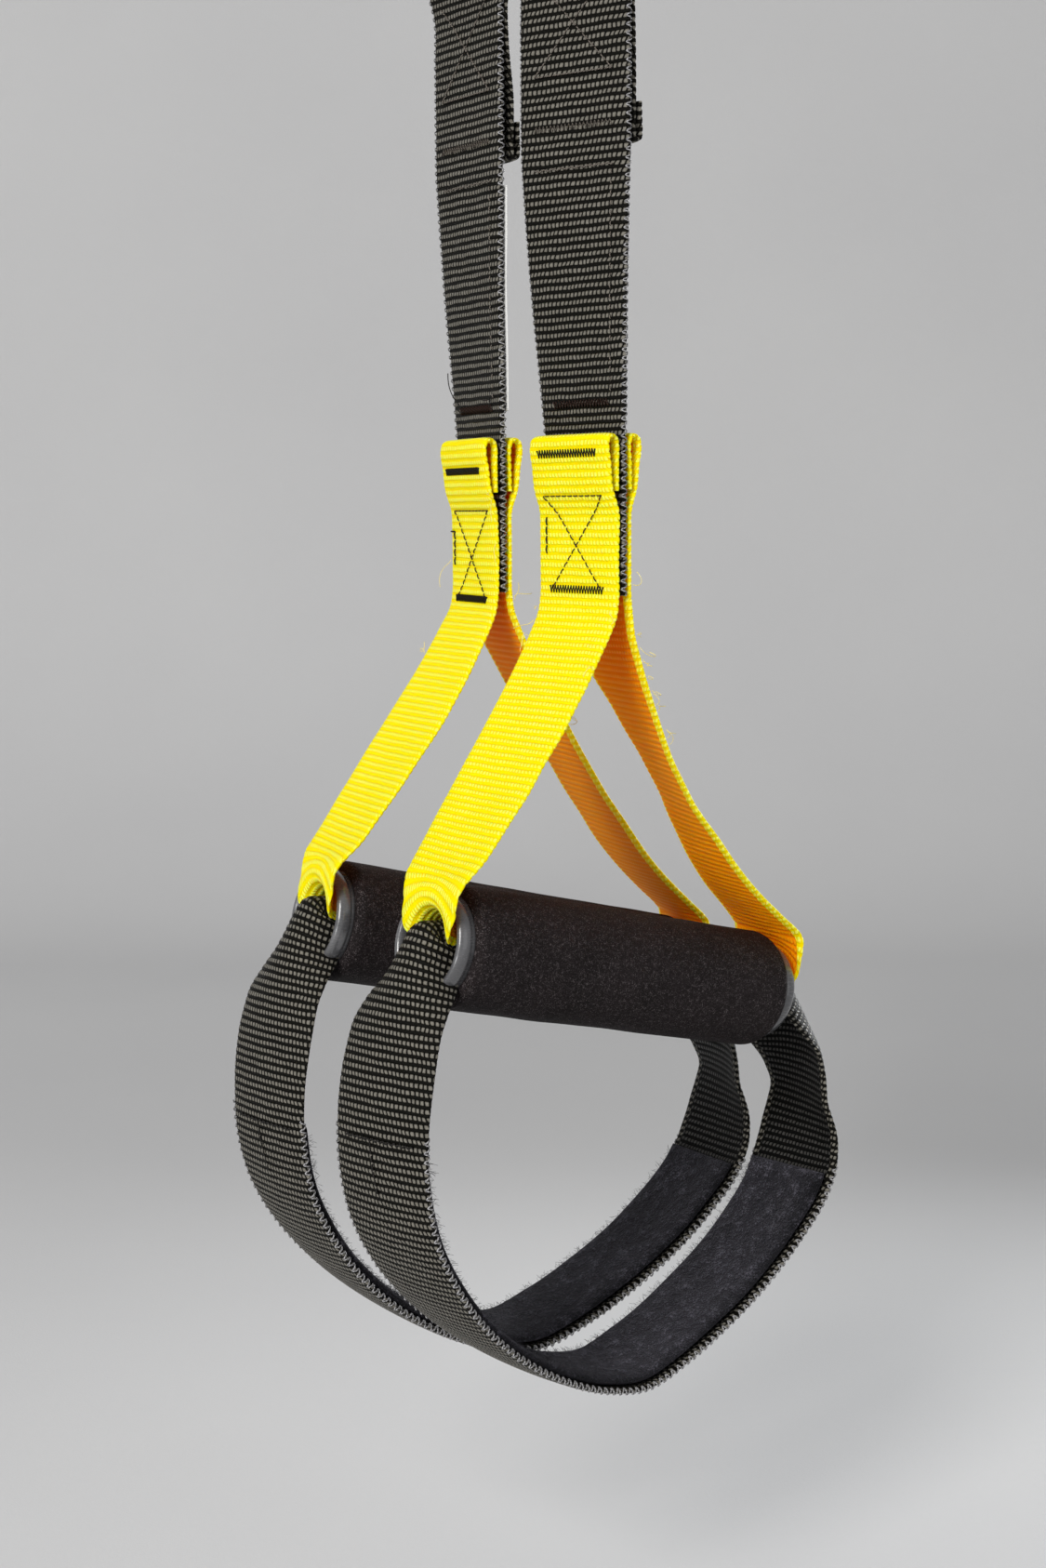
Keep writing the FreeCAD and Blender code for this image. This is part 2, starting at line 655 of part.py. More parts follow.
def anchor_nodes():
    """Every node of the ceiling bracket, in the shared frame."""
    shapes = {
        "anchor_bracket": anchor_bracket(),
        "hanger_bolt": hanger_bolt(),
        "hanger_nut": hanger_nut(),
        "outer_washers": outer_washers(),
        "side_washers": side_washers(),
        "centre_spacer": centre_spacer(),
    }
    return {name: place_anchor(shape) for name, shape in shapes.items()}


def main():
    os.makedirs("parts", exist_ok=True)
    nodes = anchor_nodes()
    for handle in HANDLES:
        nodes.update(handle_nodes(handle))
    for name, shape in nodes.items():
        volume = sum(solid.Volume for solid in shape.Solids) / 1000
        state = "valid" if shape.isValid() else "INVALID"
        print(f"{name}: {len(shape.Solids)} solid(s), {volume:.2f} cm3, {state}")
        shape.exportStep(os.path.join("parts", name + ".step"))


main()
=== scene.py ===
"""Looks of a pair of suspension-trainer handles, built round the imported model.

Local shapes are in millimetres in each handle's own frame (X along the grip, Z up from the
grip's level) and are placed in the shared frame, in metres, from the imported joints.
"""
import json
import math

import bpy
import numpy as np
from mathutils import Matrix, Vector


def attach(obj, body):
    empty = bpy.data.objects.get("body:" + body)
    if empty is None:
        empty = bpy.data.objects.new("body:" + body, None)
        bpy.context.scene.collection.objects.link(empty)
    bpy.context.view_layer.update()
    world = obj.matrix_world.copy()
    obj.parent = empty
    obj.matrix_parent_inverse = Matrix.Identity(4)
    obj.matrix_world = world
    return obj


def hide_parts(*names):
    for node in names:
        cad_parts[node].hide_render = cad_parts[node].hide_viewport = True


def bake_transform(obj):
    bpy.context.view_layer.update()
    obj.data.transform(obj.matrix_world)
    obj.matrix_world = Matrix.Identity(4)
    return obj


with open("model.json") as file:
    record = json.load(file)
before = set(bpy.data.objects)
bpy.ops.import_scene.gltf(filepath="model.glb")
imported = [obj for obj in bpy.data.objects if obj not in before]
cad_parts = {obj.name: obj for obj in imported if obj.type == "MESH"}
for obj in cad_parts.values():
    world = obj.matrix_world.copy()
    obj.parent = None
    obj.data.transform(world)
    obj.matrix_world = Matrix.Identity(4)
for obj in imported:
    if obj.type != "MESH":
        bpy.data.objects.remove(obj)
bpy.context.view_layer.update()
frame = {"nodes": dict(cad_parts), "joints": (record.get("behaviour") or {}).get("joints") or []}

MM = 0.001

# Webbing: the rib is the pitch of its rows, and the step is the distance between mesh rows
WIDTH = 38.0
THICK = 2.0
RIB = 2.2
BEADS_ACROSS = 24
CRADLE_WIDTH = 35.0
LINER_WIDTH = 31.5
LINER_THICK = 3.6
STEP = RIB / 6

# Steepest angle of a cupped band's sides, and the share of its width that gathering takes away
SIDE_ANGLE = math.radians(86)
GATHER = 0.25
SIMPSON = np.array([1, 4, 2, 4, 2, 4, 2, 4, 2, 4, 2, 4, 1]) / 36

# Grip, its end caps, and how far from its axis the two bands run inside it
GRIP_HALF = 66.0
GRIP_CENTRE = np.array([7.1, 0.0, -10.2])
TILT = -13.3
FOAM_RADIUS = 18.0
FOAM_EDGE = 3.0
FOAM_SETBACK = 3.2
CORE_RADIUS = 14.6
CAP_BORE = 12.2
CAP_SLEEVE = 13.4
CAP_SLEEVE_END = 46.0
CAP_BACK = 62.95
CAP_RING_CENTRE = (65.6, 13.8)
CAP_RING_HALF = (2.6, 1.6)
HANDLE_CUP = 11.0
CRADLE_CUP = 8.5

# Heights above the grip's level
HEM_TOP = 147.0
LABEL_ENDS = (154.7, 220.2)
TAIL_BOTTOM = 227.0
SPLIT = 272.0
BOLT = 305.0

# Heights of the seams on the strap, from the bottom up
LOW_TACK = 155.5
WAVY_ROW = 221.5
HIGH_TACK = 233.0
CROSS_ENDS = (247.5, 275.5)

# Heights of the seams on the yellow band's hems, and the lengths between which each hem lies
HEM_BARS = (141.5, 102.4)
HEM_CROSS_TOP = 129.6
HEM_DASH = (123.2, 112.3)
HEM_SPAN = (18.0, 74.0)

# The strap's front is within this length
FRONT_LENGTH = 230.0

# Label, on the back of the strap's front layer
LABEL_WIDTH = 35.0
LABEL_THICK = 0.4
LABEL_OFF = 1.35

# Where seams lie, from the middle of the band's thickness
SEAM_OFF = -(THICK / 2 + 0.15)
CRADLE_SEAM_OFF = THICK / 2 + 0.12

# How far along X the handle's middle hangs from the bolt
HANDLE_SHIFT = 2.5

FLOOR_Z = -0.56

# What differs between the two handles
SEED = {"right": 11, "left": 29}
HEM_TURN = {"right": -4.5, "left": -10.0}
LEG_TURN = {"right": -30.0, "left": -12.0}
STRAP_TURN = {"right": 13.0, "left": -7.5}
TAIL_GAP = {"right": 0.6, "left": 2.0}
LABEL_SHIFT = {"right": 0.0, "left": -2.2}
SEAM_DROP = {"right": 0.0, "left": 4.2}
LOOSE_TAILS = {"right": 1, "left": 3}
LINER_ENDS = {"right": (-48.0, -86.0), "left": (-54.0, -90.0)}
SIDES = ("right", "left")


def joint(name):
    return next(j for j in frame["joints"] if j["name"] == name)


# ---- placing ----

def rotation_z(angle):
    c, s = math.cos(angle), math.sin(angle)
    return np.array([[c, -s, 0], [s, c, 0], [0, 0, 1]])


def handle_place(side):
    """Function from the handle's local frame in mm to the shared frame in metres, and its yaw."""
    spin = joint(side + "_grip_spin")
    axis = spin["axis"]
    yaw = math.atan2(axis[1], axis[0])
    turn = rotation_z(yaw)
    origin = np.array(spin["pos_m"]) - turn @ GRIP_CENTRE * MM
    return (lambda points: np.asarray(points) @ turn.T * MM + origin), yaw


def strap_place(side):
    """Function from the hanging strap's frame in mm to the shared frame in metres."""
    pos = joint(side + "_strap_swing")["pos_m"]
    origin = np.array(pos) - np.array([0, 0, BOLT * MM])
    return lambda points: np.asarray(points) * MM + origin


# ---- paths of the webbing ----

def unit(angle):
    a = math.radians(angle)
    return np.array([math.cos(a), math.sin(a)])


def grip_xz(along, up):
    """Point in the XZ plane: along the grip's axis from its middle, and up from the axis."""
    return GRIP_CENTRE[[0, 2]] + unit(TILT) * along + unit(TILT + 90) * up


def arc(pivot, radius, start, end, count, cups=(0.0, 0.0), turns=(0.0, 0.0), lever=0.0):
    """Stations (x, z, curvature, turn, lever) round a pivot, with headings from start to end.

    The curvatures in cups and the turns go evenly from the first value to the second.
    """
    side = -90 if end > start else 90
    rows = []
    for part in np.linspace(0, 1, count + 1):
        x, z = pivot + unit(start + (end - start) * part + side) * radius
        cup = cups[0] + (cups[1] - cups[0]) * part
        turn = turns[0] + (turns[1] - turns[0]) * part
        rows.append((x, z, cup, turn, lever))
    return rows


def cubic(knots, values, t):
    """Smooth curve through the values, with three-point slopes at the knots."""
    h = np.diff(knots)
    d = np.diff(values, axis=0) / h[:, None]
    slope = np.empty_like(values)
    slope[1:-1] = (d[:-1] * h[1:, None] + d[1:] * h[:-1, None]) / (h[1:] + h[:-1])[:, None]
    slope[0], slope[-1] = d[0], d[-1]
    i = np.clip(np.searchsorted(knots, t, "right") - 1, 0, len(h) - 1)
    u = ((t - knots[i]) / h[i])[:, None]
    w = h[i][:, None]
    return ((1 + 2 * u) * (1 - u) ** 2 * values[i] + u * (1 - u) ** 2 * w * slope[i]
            + u * u * (3 - 2 * u) * values[i + 1] + u * u * (u - 1) * w * slope[i + 1])


def soften(values, count):
    """Running mean that keeps the ends."""
    padded = np.pad(values, count, mode="edge")
    return np.convolve(padded, np.ones(2 * count + 1) / (2 * count + 1), "valid")


class Path:
    """Centreline of a band: a curve in XZ, cupped across its width and turned about the vertical.

    Stations are (x, z, curvature, turn, lever), and gather where there is any. The curvature is
    that of the cup. The turn is in degrees, about a vertical axis at x - lever. Where it is
    gathered the band is narrower and its sides hang square to the grip.
    """

    def __init__(self, stations, cup_side, place):
        rows = np.array([(*row, 0.0)[:6] for row in stations], float)
        self.cup_side, self.place = cup_side, place
        chord = np.hypot(*np.diff(rows[:, :2], axis=0).T)
        knots = np.concatenate([[0], np.cumsum(chord)])
        fine = np.linspace(0, knots[-1], int(knots[-1] / 0.1))
        xz = cubic(knots, rows[:, :2], fine)
        length = np.concatenate([[0], np.cumsum(np.hypot(*np.diff(xz, axis=0).T))])
        self.s = np.arange(0, length[-1], STEP)
        self.x = np.interp(self.s, length, xz[:, 0])
        self.z = np.interp(self.s, length, xz[:, 1])
        heading = np.unwrap(np.arctan2(np.gradient(self.z), np.gradient(self.x)))
        self.heading = soften(heading, 2)
        for i, name in ((2, "cup"), (3, "turn"), (4, "lever"), (5, "gather")):
            linear = np.interp(np.interp(self.s, length, fine), knots, rows[:, i])
            setattr(self, name, soften(linear, 7))
        self.turn = np.radians(self.turn)

    def at(self, s, v, off=0.0):
        """Points at lengths s, v across and off out from the cup."""
        names = ("x", "z", "heading", "cup", "turn", "lever", "gather")
        x, z, heading, cup, turn, lever, gather = (
            np.interp(s, self.s, getattr(self, name)) for name in names)
        ct, st = np.cos(turn), np.sin(turn)
        inward = np.stack([-np.sin(heading) * ct, -np.sin(heading) * st, np.cos(heading)], -1)
        inward *= self.cup_side
        across = np.stack([-st, ct, np.zeros_like(st)], -1)
        crown = np.stack([x - lever + lever * ct, lever * st, z], -1)
        tilt = math.radians(TILT)
        down = np.array([math.sin(tilt), 0, -math.cos(tilt)])
        weight = np.minimum(2 * gather, 1)[..., None]
        hang = inward * (1 - weight) + down * weight
        hang /= np.linalg.norm(hang, axis=-1, keepdims=True)
        v = v * (1 - GATHER * gather)
        bend = (v * cup)[..., None] * np.linspace(0, 1, 13)
        bend = bend / (1 + (np.abs(bend) / SIDE_ANGLE) ** 4) ** 0.25
        sideways = (np.cos(bend) @ SIMPSON * v)[..., None]
        deep = (np.sin(bend) @ SIMPSON * v)[..., None]
        normal = across * np.sin(bend[..., -1:]) - inward * np.cos(bend[..., -1:])
        off = np.broadcast_to(off, np.shape(v))[..., None]
        return self.place(crown + across * sideways + hang * deep + normal * off)

    def s_at(self, z, low, high):
        """Length at which the path is at height z, between the lengths low and high."""
        inside = np.flatnonzero((self.s >= low) & (self.s <= high))
        return float(self.s[inside[np.argmin(np.abs(self.z[inside] - z))]])

    @property
    def length(self):
        return float(self.s[-1])


# ---- meshes ----

def new_mesh(name, verts, faces, attribute=None):
    mesh = bpy.data.meshes.new(name)
    mesh.from_pydata(np.asarray(verts).tolist(), [], faces)
    mesh.polygons.foreach_set("use_smooth", np.ones(len(mesh.polygons), bool))
    if attribute is not None:
        layer = mesh.attributes.new("weave", "FLOAT_VECTOR", "POINT")
        layer.data.foreach_set("vector", np.asarray(attribute, np.float32).ravel())
    mesh.update()
    obj = bpy.data.objects.new(name, mesh)
    bpy.context.scene.collection.objects.link(obj)
    return obj


def ring_faces(rows, ring, closed=False):
    """Quads between successive rings of points, with end faces unless the tube is closed."""
    i, j = np.meshgrid(np.arange(rows if closed else rows - 1), np.arange(ring), indexing="ij")
    a = i * ring + j
    b = i * ring + (j + 1) % ring
    up = ((i + 1) % rows) * ring
    faces = np.stack([a, b, up + (j + 1) % ring, up + j], -1).reshape(-1, 4).tolist()
    if not closed:
        faces.append(list(range(ring))[::-1])
        faces.append(list(range((rows - 1) * ring, rows * ring)))
    return faces


def band(name, path, width, thick, seed, ends=(0.0, None), offset=0.0, ribs=True, power=12,
         columns=26, taper=0.0, rough=0.0, shift=0.0, edge=-1):
    """Band of cloth along a path, with ribs across it and rounded, scalloped edges.

    The weave attribute holds the place along and across the band, and which face it is on. The
    band's thin edges count as the face that the edge argument names.
    """
    rng = np.random.default_rng(seed)
    start, stop = ends[0], path.length if ends[1] is None else ends[1]
    s = np.arange(start, stop, STEP if ribs else 2 * STEP)
    phi = np.arange(2 * columns) * np.pi / columns
    cos, sin = np.cos(phi), np.sin(phi)
    height = np.sign(sin) * np.sqrt(np.maximum(1 - np.abs(cos) ** power, 0))
    across = cos
    face = np.where(sin >= 0, 1.0, -1.0)
    mark = np.where(height * edge < -0.9, -edge, edge)
    S, _ = np.meshgrid(s, across, indexing="ij")
    if ribs:
        outer = np.sqrt(1 - (2 * np.mod(S / RIB, 1) - 1) ** 2)
        inner = np.sqrt(1 - (2 * np.mod(S / RIB + 0.5, 1) - 1) ** 2)
        rib = np.where(face > 0, outer, inner)
        relief = 0.72 + 0.28 * rib
        scallop = (0.35 if edge < 0 else 0.12) * (outer - 0.7)
    else:
        relief, scallop = np.ones_like(S), 0.0
    waves = 0
    for _ in range(4):
        waves = waves + rng.uniform(0.04, 0.12) * np.sin(
            2 * np.pi * S / rng.uniform(17, 60) + rng.uniform(0, 6.3))
    half = width / 2 + (scallop + waves * (0.6 if ribs else 1.0))
    if taper:
        from_end = np.minimum(S - start, stop - S) / taper
        relief = relief * np.sqrt(1 - (1 - np.clip(from_end, 0.02, 1)) ** 2)
    V = across * half + shift
    off = height * relief * thick / 2 + offset + waves * 0.4 * ribs
    if rough:
        off = off + rng.normal(0, rough, off.shape) * np.abs(height)
    points = path.at(S, V, off)
    marks = np.stack([S, V, np.broadcast_to(mark, S.shape)], -1)
    faces = ring_faces(len(s), 2 * columns)
    return new_mesh(name, points.reshape(-1, 3), faces, marks.reshape(-1, 3))


def tubes(name, paths, radius, sides=6):
    """Threads: round tubes along lists of points in metres."""
    verts, faces, marks = [], [], []
    count = 0
    angles = np.arange(sides) * 2 * np.pi / sides
    cos, sin = np.cos(angles)[None, :, None], np.sin(angles)[None, :, None]
    for points in paths:
        points = np.asarray(points)
        tangent = np.gradient(points, axis=0)
        tangent /= np.linalg.norm(tangent, axis=1)[:, None] + 1e-12
        reference = np.array([0.31, 0.22, 0.92])
        first = np.cross(tangent, reference)
        first /= np.linalg.norm(first, axis=1)[:, None] + 1e-9
        second = np.cross(tangent, first)
        ring = first[:, None] * cos + second[:, None] * sin
        verts.append((points[:, None] + ring * radius * MM).reshape(-1, 3))
        lengths = np.linalg.norm(np.diff(points, axis=0), axis=1)
        run = np.concatenate([[0], np.cumsum(lengths)]) / MM
        marks.append(np.stack([np.repeat(run, sides), np.tile(angles, len(points)),
                               np.zeros(len(points) * sides)], -1))
        faces += (np.array(ring_faces(len(points), sides)[:-2]) + count).tolist()
        faces += [[count + i for i in range(sides)][::-1],
                  [count + (len(points) - 1) * sides + i for i in range(sides)]]
        count += len(points) * sides
    return new_mesh(name, np.concatenate(verts), faces, np.concatenate(marks))


def lathe(name, profile, place, segments=144, wobble=0.0, seed=0, closed=True):
    """Closed profile of (along, radius) in mm turned about the grip's axis."""
    rng = np.random.default_rng(seed)
    profile = np.array(profile, float)
    angle = np.arange(segments) * 2 * np.pi / segments
    A, R = np.meshgrid(angle, profile[:, 1])
    X = np.broadcast_to(profile[:, :1], A.shape)
    if wobble:
        for _ in range(10):
            turns, wave = rng.integers(1, 5), rng.uniform(15, 60)
            height = wobble * rng.normal()
            R = R + height * np.cos(turns * A + 2 * np.pi * X / wave + rng.uniform(0, 6.3))
    local = np.stack([X, R * np.sin(A), R * np.cos(A)], -1)
    tilt = math.radians(-TILT)
    c, s = math.cos(tilt), math.sin(tilt)
    turned = local @ np.array([[c, 0, -s], [0, 1, 0], [s, 0, c]])
    points = place(turned + GRIP_CENTRE)
    marks = np.stack([X, A * FOAM_RADIUS, R], -1)
    faces = ring_faces(len(profile), segments, closed)
    return new_mesh(name, points.reshape(-1, 3), faces, marks.reshape(-1, 3))


# ---- thread on the webbing ----

def bartack(path, s, half_width, off, half_height=0.95, spacing=0.62):
    """Dense zigzag of thread across the band."""
    count = int(2 * half_width / spacing)
    v = np.linspace(-half_width, half_width, count)
    side = np.where(np.arange(count) % 2, 1.0, -1.0)
    return [path.at(s + side * half_height, v, np.full(count, off))]


def stitches(path, start, end, off, stitch=2.6, gap=0.5, rise=0.28):
    """Straight line of stitches from (s, v) to (s, v), each one arched over the cloth."""
    start, end = np.array(start, float), np.array(end, float)
    total = np.linalg.norm(end - start)
    count = max(int(round(total / (stitch + gap))), 1)
    sign = math.copysign(1, off)
    made = []
    for i in range(count):
        part = (i + np.linspace(0, 1, 7) * stitch / (stitch + gap)) / count
        place = start + (end - start) * part[:, None]
        lift = off + sign * (np.sin(np.linspace(0, np.pi, 7)) * rise - 0.15)
        made.append(path.at(place[:, 0], place[:, 1], lift))
    return made


def wavy(path, s, half_width, off, swing=0.5, wave=3.2):
    """Row of thread that waves as it crosses the band."""
    v = np.arange(-half_width, half_width, 0.4)
    return [path.at(s + swing * np.sin(2 * np.pi * v / wave), v, np.full(v.shape, off))]


def overlock(path, start, stop, v_edge, reach=1.0, pitch=1.5, half_thick=0.95):
    """Thread wound over the edge of a band in a zigzag."""
    s = np.arange(start, stop, pitch / 8)
    phase = 2 * np.pi * s / pitch
    sign = math.copysign(1, v_edge)
    inset = reach * (0.5 - 0.5 * np.cos(phase))
    v = v_edge + sign * (0.12 - inset)
    off = half_thick * np.sin(phase / 2)
    return [path.at(s, v, off)]


def loose_ends(path, starts, off, reach, seed):
    """Threads that have come loose at lengths and widths (s, v), wandering off the cloth."""
    rng = np.random.default_rng(seed)
    made = []
    for s, v in starts:
        side = math.copysign(1, v)
        steps = np.linspace(0, 1, 26)
        grow = reach * rng.uniform(0.4, 1.6)
        swirl, phase = rng.uniform(2.0, 5.5), rng.uniform(0, 6.3)
        lean = rng.normal(0, 0.5) * steps + 0.28 * steps * np.sin(swirl * steps + phase)
        along = s + grow * lean
        across = v + side * grow * (0.12 * steps + 0.2 * steps * np.sin(swirl * steps))
        sway = 0.25 * steps + 0.16 * steps * np.cos(swirl * 1.3 * steps + phase)
        away = off + math.copysign(1, off) * grow * sway
        made.append(path.at(along, across, away))
    return made


def pile_hairs(path, start, stop, off, seed, count=2600):
    """Short hairs standing up from the liner, thicker along its edges."""
    rng = np.random.default_rng(seed)
    s = rng.uniform(start + 3, stop - 3, count)
    v = LINER_WIDTH / 2 * np.clip(rng.beta(0.45, 0.45, count) * 2 - 1, -0.97, 0.97)
    length = rng.uniform(0.4, 1.2, count)
    lean_s, lean_v = rng.normal(0, 1.0, count), rng.normal(0, 0.7, count)
    lean_v += 1.1 * v / LINER_WIDTH * 2
    steps = np.array([-0.25, 0.4, 1.0])[:, None]
    rounding = 1.5 * np.abs(v / LINER_WIDTH * 2) ** 5
    points = path.at(s + lean_s * steps ** 2, v + lean_v * steps ** 2,
                     off + rounding - length * steps)
    return list(points.transpose(1, 0, 2))


# ---- materials ----

class Graph:
    """Material with a Principled shader and helpers for its nodes."""

    def __init__(self, name, colour, roughness, **sockets):
        self.material = bpy.data.materials.new(name)
        self.material.use_nodes = True
        self.tree = self.material.node_tree
        self.tree.nodes.clear()
        self.bsdf = self.add("ShaderNodeBsdfPrincipled")
        self.link(self.bsdf.outputs[0], self.add("ShaderNodeOutputMaterial").inputs[0])
        self.material.diffuse_color = (*colour, 1)
        self.bsdf.inputs["Base Color"].default_value = (*colour, 1)
        self.bsdf.inputs["Roughness"].default_value = roughness
        for socket, value in sockets.items():
            self.bsdf.inputs[socket.replace("_", " ")].default_value = value

    def add(self, kind, **values):
        node = self.tree.nodes.new(kind)
        for key, value in values.items():
            setattr(node, key, value)
        return node

    def link(self, a, b):
        self.tree.links.new(a, b)

    def math(self, operation, *inputs, clamp=False):
        node = self.add("ShaderNodeMath", operation=operation, use_clamp=clamp)
        for socket, value in zip(node.inputs, inputs):
            if isinstance(value, (int, float)):
                socket.default_value = value
            else:
                self.link(value, socket)
        return node.outputs[0]

    def range(self, value, low, high, to_low=0.0, to_high=1.0):
        node = self.add("ShaderNodeMapRange", interpolation_type="SMOOTHSTEP")
        self.link(value, node.inputs[0])
        for i, number in enumerate((low, high, to_low, to_high), 1):
            node.inputs[i].default_value = number
        return node.outputs[0]

    def dome(self, part):
        """1 in the middle of a part from 0 to 1, and 0 at its ends."""
        centred = self.math("MULTIPLY_ADD", part, 2.0, -1.0)
        return self.math("SUBTRACT", 1.0, self.math("POWER", centred, 2.0))

    def mix(self, factor, a, b):
        node = self.add("ShaderNodeMix", data_type="RGBA")
        self.link(factor, node.inputs[0])
        for socket, value in ((node.inputs[6], a), (node.inputs[7], b)):
            if isinstance(value, tuple):
                socket.default_value = (*value, 1)
            else:
                self.link(value, socket)
        return node.outputs[2]

    def where(self):
        return self.add("ShaderNodeTexCoord").outputs["Object"]

    def weave(self):
        node = self.add("ShaderNodeAttribute", attribute_name="weave")
        split = self.add("ShaderNodeSeparateXYZ")
        self.link(node.outputs["Vector"], split.inputs[0])
        return node.outputs["Vector"], split.outputs

    def noise(self, vector, scale, detail=3.0, roughness=0.55, stretch=None):
        if stretch:
            node = self.add("ShaderNodeVectorMath", operation="MULTIPLY")
            self.link(vector, node.inputs[0])
            node.inputs[1].default_value = stretch
            vector = node.outputs[0]
        node = self.add("ShaderNodeTexNoise")
        self.link(vector, node.inputs["Vector"])
        node.inputs["Scale"].default_value = scale
        node.inputs["Detail"].default_value = detail
        node.inputs["Roughness"].default_value = roughness
        return node.outputs[0]

    def bump(self, height, distance, strength=1.0):
        node = self.add("ShaderNodeBump")
        node.inputs["Distance"].default_value = distance
        node.inputs["Strength"].default_value = strength
        self.link(height, node.inputs["Height"])
        self.link(node.outputs[0], self.bsdf.inputs["Normal"])

    def to(self, value, socket):
        self.link(value, self.bsdf.inputs[socket])


def webbing_material(name, back, front, wear_and_shade, width, roughness, gloss, depth, **sockets):
    """Ribbed webbing: rows of beads across it.

    Each face has a colour for its gaps, painted shade, and one for its beads, a painted
    highlight on their tops. The back's beads take another colour in patches: wear on the strap
    and the yellow band, painted shade on the cradle.
    """
    g = Graph(name, back[1], roughness, **sockets)
    vector, (s, v, face) = g.weave()
    drift = g.noise(vector, 1.0, 2.0, 0.5, (0.25, 0.13, 1.0))
    half_row = g.math("MULTIPLY", g.math("LESS_THAN", face, 0.0), 0.5)
    row = g.math("ADD", g.math("DIVIDE", s, RIB), half_row)
    row = g.math("MULTIPLY_ADD", drift, 0.3, row)
    in_row = g.math("FRACT", row)
    index = g.math("FLOOR", row)
    slant = g.math("MULTIPLY", in_row, 0.45)
    along = g.math("MULTIPLY_ADD", v, BEADS_ACROSS / width, slant)
    along = g.math("ADD", along, g.math("MULTIPLY", index, 0.37))
    along = g.math("MULTIPLY_ADD", drift, 1.2, along)
    dome_v, dome_s = g.dome(g.math("FRACT", along)), g.dome(in_row)
    fibre = g.noise(vector, 1.0, 3.0, 0.6, (6.0, 2.6, 1.0))
    uneven = g.noise(vector, 1.0, 2.0, 0.5, (0.9, 0.35, 1.0))
    patch = g.noise(vector, 1.0, 3.0, 0.5, (0.06, 0.09, 1.0))
    # Bead tops lighter and the gaps between rows darker: painted highlight and painted shade
    bead = g.math("MULTIPLY", g.range(dome_s, 0.42, 1.0), g.range(dome_v, -0.05, 1.0))
    grain = g.math("MULTIPLY_ADD", fibre, 1.1, g.math("MULTIPLY", uneven, 0.7))
    lit = g.range(g.math("MULTIPLY", bead, grain), 0.16, 0.95)
    # Patches of the back's beads: wear on the strap and the yellow band, painted shade on the
    # cradle
    rubbed = g.math("MULTIPLY", lit, g.range(uneven, 0.3, 0.7))
    rubbed = g.math("MULTIPLY", g.range(patch, 0.35, 0.75, 0.0, 0.6), rubbed)
    back_tone = g.mix(rubbed, g.mix(lit, *back), wear_and_shade)
    # On the yellow band the front face is painted shade
    tone = g.mix(g.math("GREATER_THAN", face, 0.0), back_tone, g.mix(lit, *front))
    g.to(tone, "Base Color")
    g.to(g.range(lit, 0.0, 1.0, gloss * 0.15, gloss), "Specular IOR Level")
    g.to(g.math("MULTIPLY_ADD", fibre, 0.22, roughness - 0.11), "Roughness")
    rounded = g.math("POWER", bead, 0.6)
    g.bump(g.math("MULTIPLY_ADD", rounded, 0.8, g.math("MULTIPLY", fibre, 0.25)), depth)
    return g.material


def thread_material(name, colour, light, roughness=0.5):
    """Twisted thread."""
    g = Graph(name, colour, roughness, Specular_IOR_Level=0.2)
    vector, (run, angle, _) = g.weave()
    twist = g.math("SINE", g.math("MULTIPLY_ADD", run, 7.0, g.math("MULTIPLY", angle, 2.0)))
    grain = g.noise(vector, 2.0)
    ply = g.range(g.math("MULTIPLY_ADD", grain, 0.8, twist), -0.7, 1.2)
    g.to(g.mix(ply, colour, light), "Base Color")
    g.to(g.math("MULTIPLY_ADD", grain, 0.3, roughness - 0.15), "Roughness")
    g.bump(ply, 0.00008)
    return g.material


def foam_material():
    """Closed-cell foam: brown-black, with a fine speckled grain and rubbed patches."""
    g = Graph("foam_rubber", (0.014, 0.011, 0.011), 0.7, Specular_IOR_Level=0.12)
    where = g.where()
    fine = g.noise(where, 3000.0, 2.0, 0.7)
    coarse = g.noise(where, 900.0, 3.0, 0.6)
    patch = g.noise(where, 45.0, 4.0, 0.6)
    speck = g.range(g.math("MULTIPLY_ADD", fine, 0.7, g.math("MULTIPLY", coarse, 0.3)), 0.5, 0.7)
    dark = g.mix(g.range(patch, 0.3, 0.7), (0.007, 0.005, 0.005), (0.012, 0.0085, 0.009))
    g.to(g.mix(speck, dark, (0.13, 0.112, 0.115)), "Base Color")
    g.to(g.math("MULTIPLY_ADD", coarse, 0.25, 0.62), "Roughness")
    g.bump(g.math("MULTIPLY_ADD", coarse, 0.6, fine), 0.00028)
    return g.material


def plush_material():
    """Brushed pile, black with a faint violet-grey sheen, and a violet-grey painted highlight in
    random tufts of its colour.
    """
    g = Graph("plush_pile", (0.014, 0.013, 0.017), 0.95, Sheen_Weight=0.16, Sheen_Roughness=0.3,
              Specular_IOR_Level=0.2, Sheen_Tint=(0.62, 0.6, 0.72, 1))
    where = g.where()
    fibre = g.noise(where, 1500.0, 3.0, 0.8)
    tuft = g.noise(where, 260.0, 4.0, 0.65)
    nap = g.noise(where, 38.0, 3.0, 0.55)
    pile = g.math("MULTIPLY_ADD", fibre, 0.6, g.math("MULTIPLY", tuft, 0.4))
    dark = g.mix(g.range(nap, 0.35, 0.7), (0.003, 0.003, 0.004), (0.01, 0.0095, 0.0125))
    # Painted highlight: lighter violet-grey tufts in the base colour
    painted_highlight = g.math("MULTIPLY", g.range(pile, 0.5, 0.7), g.range(nap, 0.3, 0.75, 0.35, 1.0))
    g.to(g.mix(painted_highlight, dark, (0.2, 0.19, 0.235)), "Base Color")
    g.to(g.math("MULTIPLY_ADD", tuft, 0.2, 0.78), "Roughness")
    g.bump(g.math("MULTIPLY_ADD", tuft, 0.8, pile), 0.0016)
    return g.material


